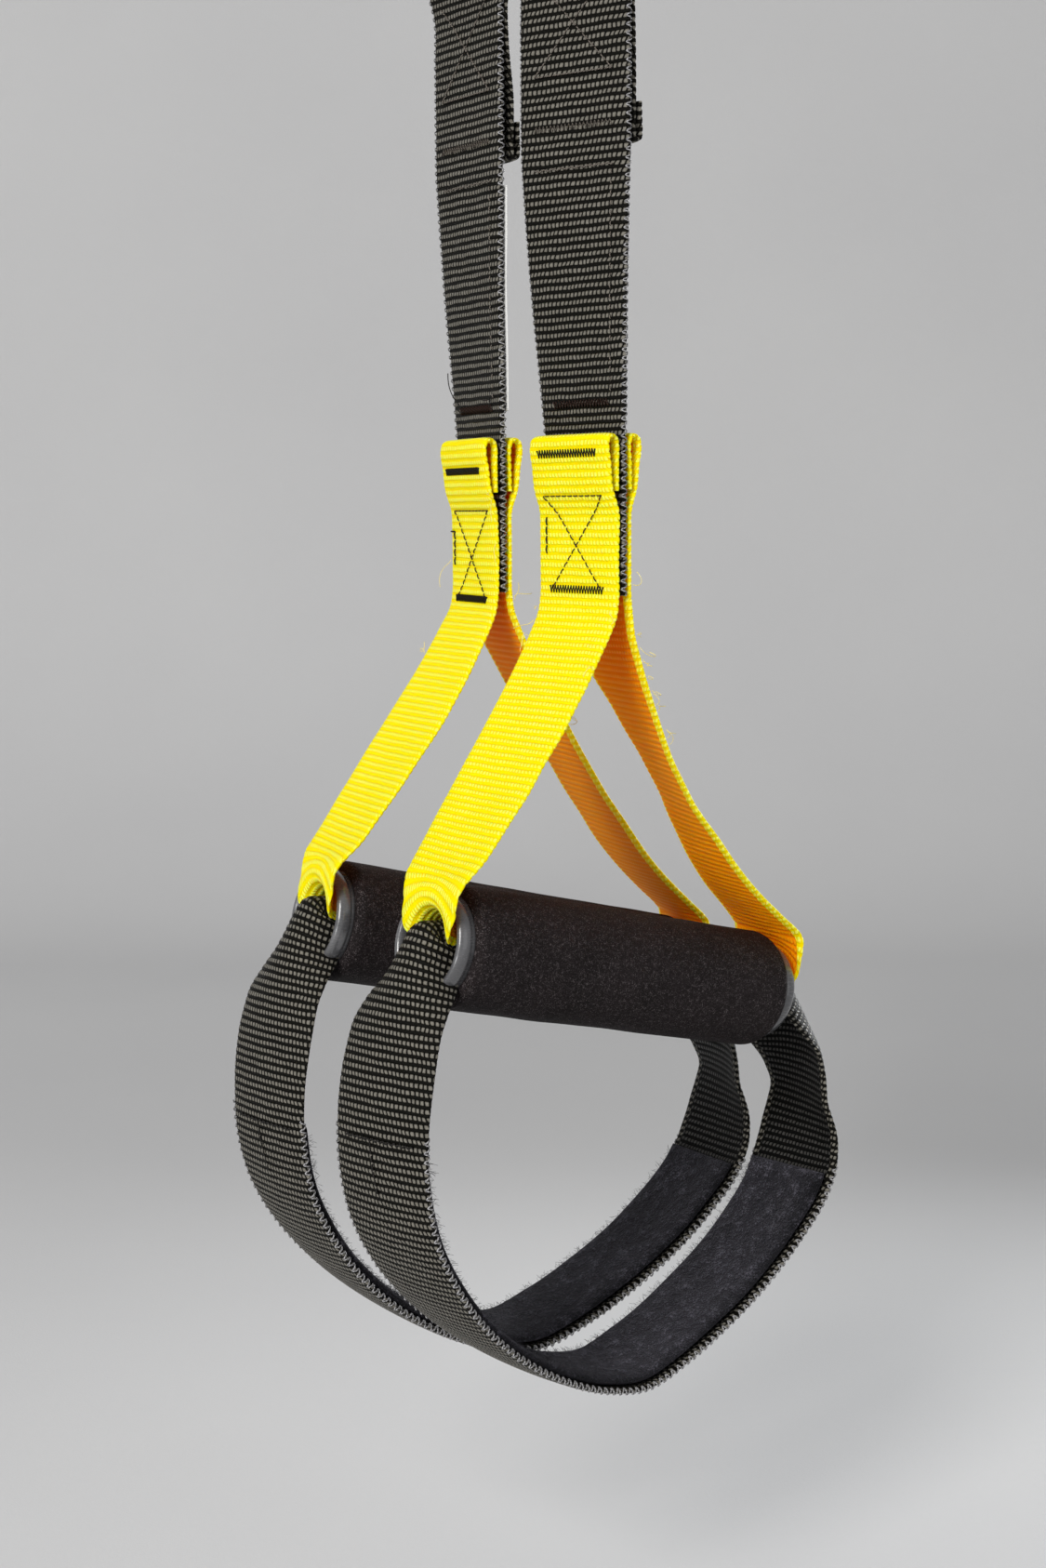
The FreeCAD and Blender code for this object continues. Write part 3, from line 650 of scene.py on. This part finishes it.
def plastic_material(name, colour, roughness, coat=0.0, ring=False):
    """Moulded plastic with fine handling marks, or turned rings."""
    g = Graph(name, colour, roughness, Coat_Weight=coat, Coat_Roughness=0.12, IOR=1.5)
    where = g.where()
    marks = g.noise(where, 420.0, 5.0, 0.7, (1.0, 1.0, 4.0))
    cloud = g.noise(where, 70.0, 3.0)
    light = tuple(min(c * 1.7 + 0.012, 1) for c in colour)
    g.to(g.mix(g.range(cloud, 0.35, 0.75), colour, light), "Base Color")
    g.to(g.math("MULTIPLY_ADD", g.range(marks, 0.45, 0.7), 0.2, roughness), "Roughness")
    height = marks
    if ring:
        split = g.add("ShaderNodeSeparateXYZ")
        g.link(where, split.inputs[0])
        lines = g.math("SINE", g.math("MULTIPLY", split.outputs[1], 9000.0))
        height = g.math("MULTIPLY_ADD", lines, 0.4, marks)
    g.bump(height, 0.00006)
    return g.material


def paint_material():
    """Fine textured powder coat, rubbed lighter in places."""
    g = Graph("powder_coat", (0.03, 0.03, 0.032), 0.5, Coat_Weight=0.15)
    where = g.where()
    grain = g.noise(where, 1300.0, 2.0, 0.5)
    wear = g.noise(where, 55.0, 6.0, 0.7)
    g.to(g.mix(g.range(wear, 0.5, 0.8), (0.024, 0.024, 0.026), (0.07, 0.07, 0.072)), "Base Color")
    g.to(g.math("MULTIPLY_ADD", wear, 0.3, 0.35), "Roughness")
    g.bump(grain, 0.00022)
    return g.material


def steel_material():
    """Zinc plating: slightly spangled, with dull patches."""
    g = Graph("zinc_steel", (0.62, 0.62, 0.6), 0.32, Metallic=1.0)
    where = g.where()
    cells = g.add("ShaderNodeTexVoronoi")
    g.link(where, cells.inputs["Vector"])
    cells.inputs["Scale"].default_value = 260.0
    dull = g.noise(where, 90.0, 5.0, 0.65)
    g.to(g.mix(g.range(dull, 0.35, 0.7), (0.5, 0.5, 0.49), (0.7, 0.7, 0.67)), "Base Color")
    g.to(g.math("MULTIPLY_ADD", dull, 0.35, 0.16), "Roughness")
    g.bump(g.math("MULTIPLY_ADD", dull, 0.5, cells.outputs[0]), 0.00004)
    return g.material


def label_material():
    """Satin-woven label, slightly soiled."""
    g = Graph("satin_label", (0.85, 0.85, 0.83), 0.45, Sheen_Weight=0.3, Sheen_Roughness=0.3)
    vector, (s, _, _) = g.weave()
    lines = g.math("SINE", g.math("MULTIPLY", s, 14.0))
    grain = g.noise(vector, 1.0, 4.0, 0.6, (2.0, 11.0, 1.0))
    soil = g.noise(vector, 0.12, 4.0)
    tone = g.mix(g.range(grain, 0.3, 0.75), (0.72, 0.72, 0.71), (0.88, 0.88, 0.87))
    g.to(g.mix(g.range(soil, 0.5, 0.85, 0.0, 0.5), tone, (0.6, 0.59, 0.56)), "Base Color")
    g.to(g.math("MULTIPLY_ADD", grain, 0.25, 0.35), "Roughness")
    g.bump(g.math("MULTIPLY_ADD", lines, 0.4, grain), 0.00008)
    return g.material


# Colours of webbing: (gap, bead): painted shade in the gaps, painted highlight on the beads
BLACK_BEADS = (0.0035, 0.0032, 0.0022), (0.17, 0.158, 0.13)
# Painted shade: the cradle's inner face, a darker copy of the black webbing's colours
BLACK_SHADED = (0.002, 0.002, 0.0018), (0.035, 0.033, 0.029)
YELLOW_BEADS = (1.0, 0.74, 0.0), (1.0, 0.96, 0.08)
# Painted shade: the yellow band's hand-facing face, the orange of the yellow cloth in shade
YELLOW_SHADED = (0.95, 0.29, 0.0), (1.0, 0.4, 0.0)
BLACK_WORN = (0.2, 0.188, 0.162)
YELLOW_WORN = (1.0, 0.95, 0.2)

# Light passes a little way through the yellow cloth
THROUGH_CLOTH = dict(
    Subsurface_Weight=0.5, Subsurface_Scale=0.004, Subsurface_Radius=(1.0, 0.5, 0.05))

MATERIALS = {
    "black_webbing": webbing_material(
        "webbing_black", BLACK_BEADS, BLACK_BEADS, BLACK_WORN, WIDTH,
        roughness=0.5, gloss=0.5, depth=0.0008),
    # The cradle's inner face, also in its patches, is painted shade
    "cradle_webbing": webbing_material(
        "webbing_cradle", BLACK_SHADED, BLACK_BEADS, BLACK_SHADED[1], CRADLE_WIDTH,
        roughness=0.5, gloss=0.5, depth=0.0008),
    # The yellow band's hand-facing face is painted shade
    "yellow_webbing": webbing_material(
        "webbing_yellow", YELLOW_BEADS, YELLOW_SHADED, YELLOW_WORN, WIDTH,
        roughness=0.6, gloss=0.25, depth=0.0004, **THROUGH_CLOTH),
    "black_thread": thread_material("thread_black", (0.003, 0.003, 0.003), (0.016, 0.014, 0.012)),
    "faded_thread": thread_material("thread_faded", (0.03, 0.024, 0.02), (0.2, 0.175, 0.15)),
    "brown_thread": thread_material("thread_brown", (0.008, 0.004, 0.003), (0.04, 0.02, 0.014)),
    "grey_thread": thread_material("thread_grey", (0.1, 0.1, 0.102), (0.46, 0.452, 0.46)),
    "yellow_fibre": thread_material("fibre_yellow", (0.9, 0.7, 0.12), (1.0, 0.9, 0.4)),
    "white_label": label_material(),
    "foam": foam_material(),
    "core_plastic": plastic_material("core_tube", (0.3, 0.3, 0.31), 0.5),
    "cap_plastic": plastic_material("cap_moulded", (0.07, 0.07, 0.074), 0.2, coat=0.8),
    "plush": plush_material(),
    "bush_plastic": plastic_material("bush_nylon", (0.09, 0.09, 0.095), 0.42, ring=True),
    "bracket_paint": paint_material(),
    "bolt_steel": steel_material(),
}


def finish_piece(obj, material, body=None, replaces=()):
    """Give a piece its material and slot, put it on its body and hide the nodes it stands for."""
    obj.data.materials.append(MATERIALS[material])
    if body:
        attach(obj, body)
    if replaces:
        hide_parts(*replaces)
    return obj


# ---- handle ----

def in_tube(cup, places, gather):
    """Stations that keep a channel straight inside the grip, at places along its axis."""
    return [(*grip_xz(along, cup), 1 / cup, 0, 0, gather) for along in places]


def lip_stations(rows, turn, outward):
    """Stations of a lip at the grip's mouth, gathered more the nearer they are to the grip."""
    last = len(rows) - 1
    made = []
    for i, (x, z, cup, _, _) in enumerate(rows):
        part = i / last if outward else 1 - i / last
        made.append((x, z, cup, turn * max(2 * part - 1, 0), 0, 1 - 0.5 * part))
    return made


def handle_path(side, place):
    """Centreline of the yellow band: hem, left leg, through the grip, right leg, hem."""
    hem_turn = HEM_TURN[side]
    fold = 1.75
    top = HEM_TOP - THICK / 2 - fold
    inner = 2.25
    outer = inner + fold
    hem = [
        (-inner, 130.5, 0, hem_turn, -inner), (-inner, 138.0, 0, hem_turn, -inner),
        *arc(np.array([-outer, top]), fold, 90, 270, 6, turns=(hem_turn,) * 2, lever=-outer),
        (-5.0, 137.5, 0, hem_turn, -5.0), (-4.3, 131.5, 0, hem_turn, -4.3),
        (-2.3, 125.0, 0, hem_turn, -2.3), (-2.1, 118.0, 0, hem_turn, -2.1),
        (-2.1, 108.0, 0, hem_turn, -2.1), (-2.15, 101.0, 0, hem_turn, -2.15),
    ]
    mirrored = [(-x, z, cup, turn, -lever) for x, z, cup, turn, lever in hem[::-1]]

    # legs: (x, z, curvature)
    left_leg = [
        (-3.2, 95.5, 0), (-6.2, 89.5, 0), (-14.5, 76.0, 0), (-22.5, 64.5, 0),
        (-31.5, 52.0, 1 / 400), (-42.5, 38.0, 1 / 400), (-50.0, 28.6, 1 / 400),
        (-54.6, 23.2, 1 / 130),
    ]
    right_leg = [
        (75.2, -6.6, 1 / 130), (69.2, -0.6, 1 / 400), (55.4, 12.8, 1 / 400), (43.6, 28.0, 1 / 400),
        (36.8, 38.0, 0), (27.8, 52.0, 0), (18.6, 67.0, 0), (11.5, 79.0, 0), (5.6, 90.0, 0),
        (3.1, 95.5, 0),
    ]
    left_mouth_turn, right_mouth_turn = -12.0, -8.0
    halves = (0, 0.5, 1)
    left_turns = np.interp(
        np.linspace(0, 1, len(left_leg)), halves, (hem_turn, -4.0, left_mouth_turn))
    right_turns = np.interp(
        np.linspace(0, 1, len(right_leg)), halves, (right_mouth_turn, LEG_TURN[side], hem_turn))
    left = [(x, z, cup, turn, 0) for (x, z, cup), turn in zip(left_leg, left_turns)]
    right = [(x, z, cup, turn, 0) for (x, z, cup), turn in zip(right_leg, right_turns)]

    # the legs begin to gather at their last station before the grip
    first_gather = 0.25
    left[-1] += (first_gather,)
    right[0] += (first_gather,)

    lip = 3.0
    mouth = GRIP_HALF + 0.6
    flat, cupped = 1 / 26, 1 / 6.5
    left_lip = arc(grip_xz(-mouth, HANDLE_CUP + lip), lip, -124, TILT, 7, (flat, cupped))
    right_lip = arc(grip_xz(mouth + 1.2, HANDLE_CUP + lip), lip, TILT, 128, 8, (cupped, flat))
    left_lip = lip_stations(left_lip, left_mouth_turn, outward=False)
    right_lip = lip_stations(right_lip, right_mouth_turn, outward=True)
    inside = in_tube(HANDLE_CUP, (-50, 0, 50), gather=1)
    return Path(hem + left + left_lip + inside + right_lip + right + mirrored, -1, place)


def cradle_path(place):
    """Centreline of the foot loop: from the middle of the grip to the left, round and back in."""
    # (x, z, radius of the cup, turn)
    run = [
        (-66.8, 1.0, 9, 3), (-70.0, -7.0, 20, 7), (-72.4, -16.0, 45, 9), (-74.4, -28.0, 80, 10),
        (-76.2, -42.0, 100, 10), (-75.8, -59.0, 120, 9), (-71.8, -76.0, 150, 7),
        (-63.5, -91.5, 150, 5), (-52.0, -105.5, 150, 2), (-38.5, -117.0, 150, 0),
        (-22.5, -127.0, 150, 0), (-5.5, -134.0, 150, 0), (10.0, -136.5, 150, 0),
        (25.0, -132.5, 150, 0), (43.0, -124.8, 150, 0), (60.5, -115.0, 150, 0),
        (76.0, -103.0, 150, 0), (85.6, -93.0, 150, 2), (90.6, -83.5, 130, 3),
        (93.0, -73.5, 110, -3), (93.4, -62.0, 80, -16), (91.8, -52.5, 50, -10),
        (89.8, -43.0, 20, 2),
    ]
    radius = 4.5
    up = 5.5 - radius
    leftward = 180 + TILT
    left = arc(grip_xz(-GRIP_HALF - 2.0, up), radius, leftward, 246, 6, (1 / 5, 1 / 7))
    right = arc(grip_xz(GRIP_HALF + 6.0, up), radius, 118, leftward, 6, (1 / 9, 1 / 5))
    middle = [(x, z, 1 / cup, turn, 0) for x, z, cup, turn in run]
    way_out = in_tube(CRADLE_CUP, (-0.5, -30, -52), gather=0)
    way_in = in_tube(CRADLE_CUP, (52, 30, 0.5), gather=0)
    return Path(way_out + left + middle + right + way_in, 1, place)


def strap_path(side, yaw, place):
    """Centreline of the hanging strap: up the front, round the bush and down to a rolled tail."""
    layer = THICK / 2 + 0.025
    hem_turn, turn = math.degrees(yaw) + HEM_TURN[side], STRAP_TURN[side]

    def turned(z):
        return float(np.interp(z, (HEM_TOP, TAIL_BOTTOM), (hem_turn, turn)))

    run = ((HANDLE_SHIFT, 101), (HANDLE_SHIFT, 125), (HANDLE_SHIFT, 146), (1.6, 165), (0.4, 185),
           (-0.4, 205), (-layer, TAIL_BOTTOM), (-layer, 244), (-layer, SPLIT - 12), (-layer, SPLIT))
    front = []
    for x, z in run:
        hub = HANDLE_SHIFT * (1 - min(max((z - HEM_TOP) / 60, 0), 1))
        front.append((x, z, 0, turned(z), x - hub))
    bush_radius = 10.3
    radius = bush_radius + THICK / 2
    rise = BOLT - SPLIT
    tangent = math.degrees(math.atan2(rise, layer) + math.asin(radius / math.hypot(rise, layer)))
    loop = arc(np.array([0, BOLT]), radius, tangent, -tangent, 14)
    loose = layer + TAIL_GAP[side]
    back = [(layer, SPLIT, 0, turn, layer), (layer + 0.3, SPLIT - 12, 0, turn, layer),
            (loose, 244, 0, turn, layer), (loose, 238, 0, turn, layer)]
    curl = 1.1
    pivot = np.array([loose + curl, TAIL_BOTTOM + THICK / 2 + curl])
    roll = arc(pivot, curl, 270, 450, 8, turns=(turn, turn), lever=layer)
    end = [(loose + 2 * curl, TAIL_BOTTOM + 7, 0, turn, layer),
           (loose + 2 * curl - 0.1, TAIL_BOTTOM + 12, 0, turn, layer)]
    return Path(front + loop + back + roll + end, 1, place)


def build_strap(side, strap):
    """Hanging strap, its label and its thread."""
    body, seed = side + "_strap", SEED[side]
    piece = band(side + "_strap_band", strap, WIDTH, THICK, seed)
    finish_piece(piece, "black_webbing", body, [side + "_strap_webbing"])
    low, high = (strap.s_at(z, 0, FRONT_LENGTH) for z in LABEL_ENDS)
    label = band(side + "_label", strap, LABEL_WIDTH, LABEL_THICK, seed + 1, (low, high), LABEL_OFF,
                 ribs=False, columns=14, shift=LABEL_SHIFT[side])
    finish_piece(label, "white_label", body, [side + "_strap_label"])

    heights = (*CROSS_ENDS, HIGH_TACK, WAVY_ROW, LOW_TACK)
    cross_low, cross_high, high_tack, row, low_tack = (
        strap.s_at(z, 0, FRONT_LENGTH) for z in heights)
    half = 13.5
    paths = bartack(strap, high_tack, half, SEAM_OFF, half_height=0.8)
    paths += wavy(strap, row, 14.0, SEAM_OFF, swing=0.2)
    for v in (-half, half):
        paths += stitches(strap, (cross_low, v), (cross_high, -v), SEAM_OFF)
    paths += stitches(strap, (cross_low, -half), (cross_low, half), SEAM_OFF)
    paths += stitches(strap, (low_tack + 3, -half), (row, -half), SEAM_OFF, stitch=1.2, gap=1.6)
    thread = tubes(side + "_strap_thread", paths, radius=0.2)
    finish_piece(thread, "faded_thread", body, [side + "_strap_stitching"])
    wound = []
    for v in (-WIDTH / 2, WIDTH / 2):
        wound += overlock(strap, 0.0, cross_high + 30, v, reach=0.7, pitch=1.2)
    edging = tubes(side + "_strap_edging", wound, radius=0.21)
    finish_piece(edging, "grey_thread", body)
    tack = tubes(side + "_strap_tack", bartack(strap, low_tack, 12.5, SEAM_OFF), radius=0.3)
    finish_piece(tack, "brown_thread", body)


def build_yellow_band(side, yellow):
    """Yellow band through the grip, with a bar, a crossed box and a dash of thread on its hems."""
    body, end = side + "_strap", yellow.length
    piece = band(side + "_handle_band", yellow, WIDTH, THICK, SEED[side] + 2)
    finish_piece(piece, "yellow_webbing", body, [side + "_handle_webbing"])
    drop, half = SEAM_DROP[side], 14.0
    bars, lines = [], []
    for span in (HEM_SPAN, (end - HEM_SPAN[1], end - HEM_SPAN[0])):
        high_bar, low_bar = (yellow.s_at(z - drop, *span) for z in HEM_BARS)
        cross = yellow.s_at(HEM_CROSS_TOP - drop, *span)
        bars += bartack(yellow, high_bar, half, SEAM_OFF, half_height=0.95)
        bars += bartack(yellow, low_bar, 12.8, SEAM_OFF, half_height=1.0)
        ends = [((cross, v), (low_bar, -v * 0.85)) for v in (-half, half)]
        for start, stop in (*ends, ((cross, -half), (cross, half))):
            lines += stitches(yellow, start, stop, SEAM_OFF, stitch=2.0, gap=0.7)
    top, bottom = (yellow.s_at(z - drop, *HEM_SPAN) for z in HEM_DASH)
    dash = 14.5
    bars += stitches(yellow, (top, dash), (bottom, dash), SEAM_OFF, gap=0.4)
    if side == "left":
        bars += stitches(yellow, (top, dash + 3.5), (top, dash), SEAM_OFF, gap=0.4)
    thread = tubes(side + "_handle_tacks", bars, radius=0.26)
    finish_piece(thread, "black_thread", body, [side + "_handle_stitching"])
    thread = tubes(side + "_handle_thread", lines, radius=0.19)
    finish_piece(thread, "brown_thread", body)


def build_loose_threads(side, yellow, strap):
    """Frayed fibres of the yellow band's edges, and ends of thread on the strap."""
    body, seed, end = side + "_strap", SEED[side], yellow.length
    rng = np.random.default_rng(seed + 7)
    right_leg, left_leg = (end - 118, end - 58), (20, 90)
    starts = [(float(rng.uniform(*right_leg)), -WIDTH / 2) for _ in range(11)]
    for _ in range(5):
        s, side_of_band = float(rng.uniform(*left_leg)), float(rng.choice((-1, 1)))
        starts.append((s, side_of_band * WIDTH / 2))
    loose = loose_ends(yellow, starts, off=-0.8, reach=9.0, seed=seed + 8)
    frays = tubes(side + "_frays", loose, radius=0.1, sides=4)
    finish_piece(frays, "yellow_fibre", body)
    tack = strap.s_at(LOW_TACK, 0, FRONT_LENGTH)
    starts = [(tack, 9.0), (tack + 1.0, 11.5), (tack, -11.0)][:LOOSE_TAILS[side]]
    loose = loose_ends(strap, starts, SEAM_OFF, reach=7.0, seed=seed + 9)
    tails = tubes(side + "_tails", loose, radius=0.16, sides=5)
    finish_piece(tails, "black_thread", body)


def build_cradle(side, loop, place):
    """Foot cradle: a band that bends below the grip, with its plush liner and thread."""
    strap_body, body, seed = side + "_strap", side + "_cradle", SEED[side]
    piece = band(side + "_cradle_band", loop, CRADLE_WIDTH, THICK, seed + 3, edge=1)
    finish_piece(piece, "cradle_webbing", None, [side + "_cradle_webbing"])
    down = -unit(TILT + 90)
    blend_from, blend_to = 2.0, 45.0
    below = [place(GRIP_CENTRE + np.array([down[0], 0, down[1]]) * distance)
             for distance in (blend_from, blend_to)]
    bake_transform(piece)

    middle = loop.length / 2
    low = loop.s_at(LINER_ENDS[side][0], 0, middle)
    high = loop.s_at(LINER_ENDS[side][1], middle, loop.length)
    inside = -(THICK / 2 + LINER_THICK / 2 - 0.1)
    pad = band(side + "_cradle_pad", loop, LINER_WIDTH, LINER_THICK, seed + 4, (low, high), inside,
               ribs=False, power=5, columns=30, taper=4.0, rough=0.06)
    finish_piece(pad, "plush", body, [side + "_cradle_liner"])
    pile = pile_hairs(loop, low, high, inside - LINER_THICK / 2, seed + 5)
    hairs = tubes(side + "_cradle_pile", pile, radius=0.045, sides=3)
    finish_piece(hairs, "plush", body)

    wound = []
    for v in (-CRADLE_WIDTH / 2, CRADLE_WIDTH / 2):
        wound += overlock(loop, low - 3, high + 3, v, reach=0.7, pitch=1.3)
    thread = tubes(side + "_cradle_overlock", wound, radius=0.25)
    finish_piece(thread, "grey_thread", body)
    paths = []
    for start, inward in ((low, 1), (high, -1)):
        paths += wavy(loop, start, 13.0, CRADLE_SEAM_OFF, swing=0.35, wave=2.0)
        paths += stitches(loop, (start, 2.5), (start + inward * 16, 1.0), CRADLE_SEAM_OFF,
                          stitch=1.6, gap=0.6)
    thread = tubes(side + "_cradle_thread", paths, radius=0.25)
    finish_piece(thread, "black_thread", body, [side + "_cradle_stitching"])


def build_grip(side, place):
    """Foam sleeve and end caps."""
    body = side + "_grip"
    stop = GRIP_HALF - FOAM_SETBACK
    flat = stop - FOAM_EDGE
    right_end = [(flat + math.sin(a) * FOAM_EDGE, FOAM_RADIUS - FOAM_EDGE + math.cos(a) * FOAM_EDGE)
                 for a in np.linspace(0, math.pi / 2, 9)]
    straight = [(x, FOAM_RADIUS) for x in np.linspace(-flat, flat, 70)[1:-1]]
    profile = [(-x, r) for x, r in right_end[::-1]] + straight + right_end
    profile += [(stop, CORE_RADIUS), (-stop, CORE_RADIUS)]
    foam = lathe(side + "_foam_sleeve", profile, place, wobble=0.03, seed=SEED[side])
    finish_piece(foam, "foam", body, [side + "_grip_foam"])

    (middle_x, middle_r), (half_x, half_r) = CAP_RING_CENTRE, CAP_RING_HALF
    ring = [(middle_x + half_x * math.cos(a), middle_r + half_r * math.sin(a))
            for a in np.linspace(-2.0, 2.5, 20)]
    outline = [
        (CAP_SLEEVE_END, CAP_SLEEVE), (CAP_SLEEVE_END, 12.4), (46.4, CAP_BORE), (64.0, CAP_BORE),
        *ring, (CAP_BACK, 15.2), (CAP_BACK, CAP_SLEEVE),
    ]
    for sign, name in ((-1, "outer"), (1, "inner")):
        cap = lathe(f"{side}_cap_{name}", [(sign * x, r) for x, r in outline[::sign]], place)
        finish_piece(cap, "cap_plastic", body, [f"{side}_grip_cap_{name}"])


def build_handle(side):
    """Every piece of one handle."""
    place, yaw = handle_place(side)
    strap = strap_path(side, yaw, strap_place(side))
    yellow = handle_path(side, place)
    build_strap(side, strap)
    build_yellow_band(side, yellow)
    build_loose_threads(side, yellow, strap)
    build_cradle(side, cradle_path(place), place)
    build_grip(side, place)


for side in SIDES:
    build_handle(side)

# Nodes that keep their CAD shape, and their materials
MATERIAL_OF_NODE = {
    "anchor_bracket": "bracket_paint", "hanger_bolt": "bolt_steel", "hanger_nut": "bolt_steel",
    "outer_washers": "bolt_steel", "side_washers": "bolt_steel", "centre_spacer": "bush_plastic",
    "right_strap_bush": "bush_plastic", "left_strap_bush": "bush_plastic",
    "right_grip_core": "core_plastic", "left_grip_core": "core_plastic",
}
for node, material in MATERIAL_OF_NODE.items():
    obj = frame["nodes"][node]
    if not obj.material_slots:
        obj.data.materials.append(None)
    for material_slot in obj.material_slots:
        material_slot.material = MATERIALS[material]


# ---- floor, light and camera ----

def stage_floor():
    """Pale floor that curves up into a backdrop."""
    span, front, back, rise, bend = 3.0, -2.2, 1.6, 2.6, 0.5
    away = Vector((0.6377, 0.7703, 0)).normalized()
    side = Vector((away.y, -away.x, 0))
    profile = [(front, 0.0), (back - bend, 0.0)]
    for a in np.linspace(0, math.pi / 2, 16)[1:]:
        profile.append((back - bend + bend * math.sin(a), bend - bend * math.cos(a)))
    profile.append((back, rise))
    verts = []
    for distance, height in profile:
        for across in (-span, span):
            verts.append(tuple(away * distance + side * across + Vector((0, 0, FLOOR_Z + height))))
    faces = [[2 * i, 2 * i + 1, 2 * i + 3, 2 * i + 2] for i in range(len(profile) - 1)]
    floor = new_mesh("floor", verts, faces)
    g = Graph("floor_paper", (0.62, 0.62, 0.62), 0.9)
    where = g.where()
    cloud = g.noise(where, 3.0, 3.0)
    g.to(g.mix(cloud, (0.54, 0.54, 0.545), (0.6, 0.6, 0.6)), "Base Color")
    g.bump(g.noise(where, 900.0), 0.0001)
    floor.data.materials.append(g.material)


def area_light(name, position, target, size, power, colour=(1, 1, 1), spread=180):
    data = bpy.data.lights.new(name, "AREA")
    data.shape = "RECTANGLE"
    data.size, data.size_y = size
    data.energy = power
    data.color = colour
    data.spread = math.radians(spread)
    light = bpy.data.objects.new(name, data)
    bpy.context.scene.collection.objects.link(light)
    light.location = position
    light.rotation_mode = "QUATERNION"
    light.rotation_quaternion = (Vector(target) - Vector(position)).to_track_quat("-Z", "Y")


stage_floor()
MIDDLE = (0.0, 0.0, -0.28)
area_light("key", (-2.6, -1.1, 1.3), MIDDLE, (1.2, 1.6), 82, (1.0, 0.985, 0.96))
area_light("bounce", (-2.3, -0.5, -0.35), MIDDLE, (1.0, 0.3), 8)
area_light("fill", (0.6, -3.2, 0.4), MIDDLE, (2.4, 2.4), 10)
area_light("rim", (0.7, 0.12, -0.1), MIDDLE, (0.12, 0.4), 1.5, (0.96, 0.98, 1.0), 100)

world = bpy.data.worlds.new("studio")
world.use_nodes = True
bpy.context.scene.world = world
world.node_tree.nodes["Background"].inputs[0].default_value = (0.86, 0.87, 0.89, 1)
world.node_tree.nodes["Background"].inputs[1].default_value = 0.45
bpy.context.scene.view_settings.view_transform = "Standard"


CAMERA_POSITION = (-0.4455, -0.5364, -0.2101)
CAMERA_TURN, CAMERA_PITCH, CAMERA_ROLL = (math.radians(v) for v in (-39.62, -6.65, -0.33))
CAMERA_LENS = 53.66


def add_camera():
    """Camera at the viewing angle of the reference."""
    flat = math.cos(CAMERA_PITCH)
    forward = Vector((-math.sin(CAMERA_TURN) * flat, math.cos(CAMERA_TURN) * flat,
                      math.sin(CAMERA_PITCH)))
    right = Vector((math.cos(CAMERA_TURN), math.sin(CAMERA_TURN), 0))
    up = right.cross(forward)
    rolled = right * math.cos(CAMERA_ROLL) + up * math.sin(CAMERA_ROLL)
    upright = up * math.cos(CAMERA_ROLL) - right * math.sin(CAMERA_ROLL)
    camera = bpy.data.objects.new("camera", bpy.data.cameras.new("camera"))
    camera.matrix_world = Matrix((rolled, upright, -forward)).transposed().to_4x4()
    camera.location = CAMERA_POSITION
    camera.data.lens = CAMERA_LENS
    camera.data.sensor_width = 36.0
    camera.data.clip_start, camera.data.clip_end = 0.01, 20.0
    bpy.context.scene.collection.objects.link(camera)
    bpy.context.scene.camera = camera


add_camera()
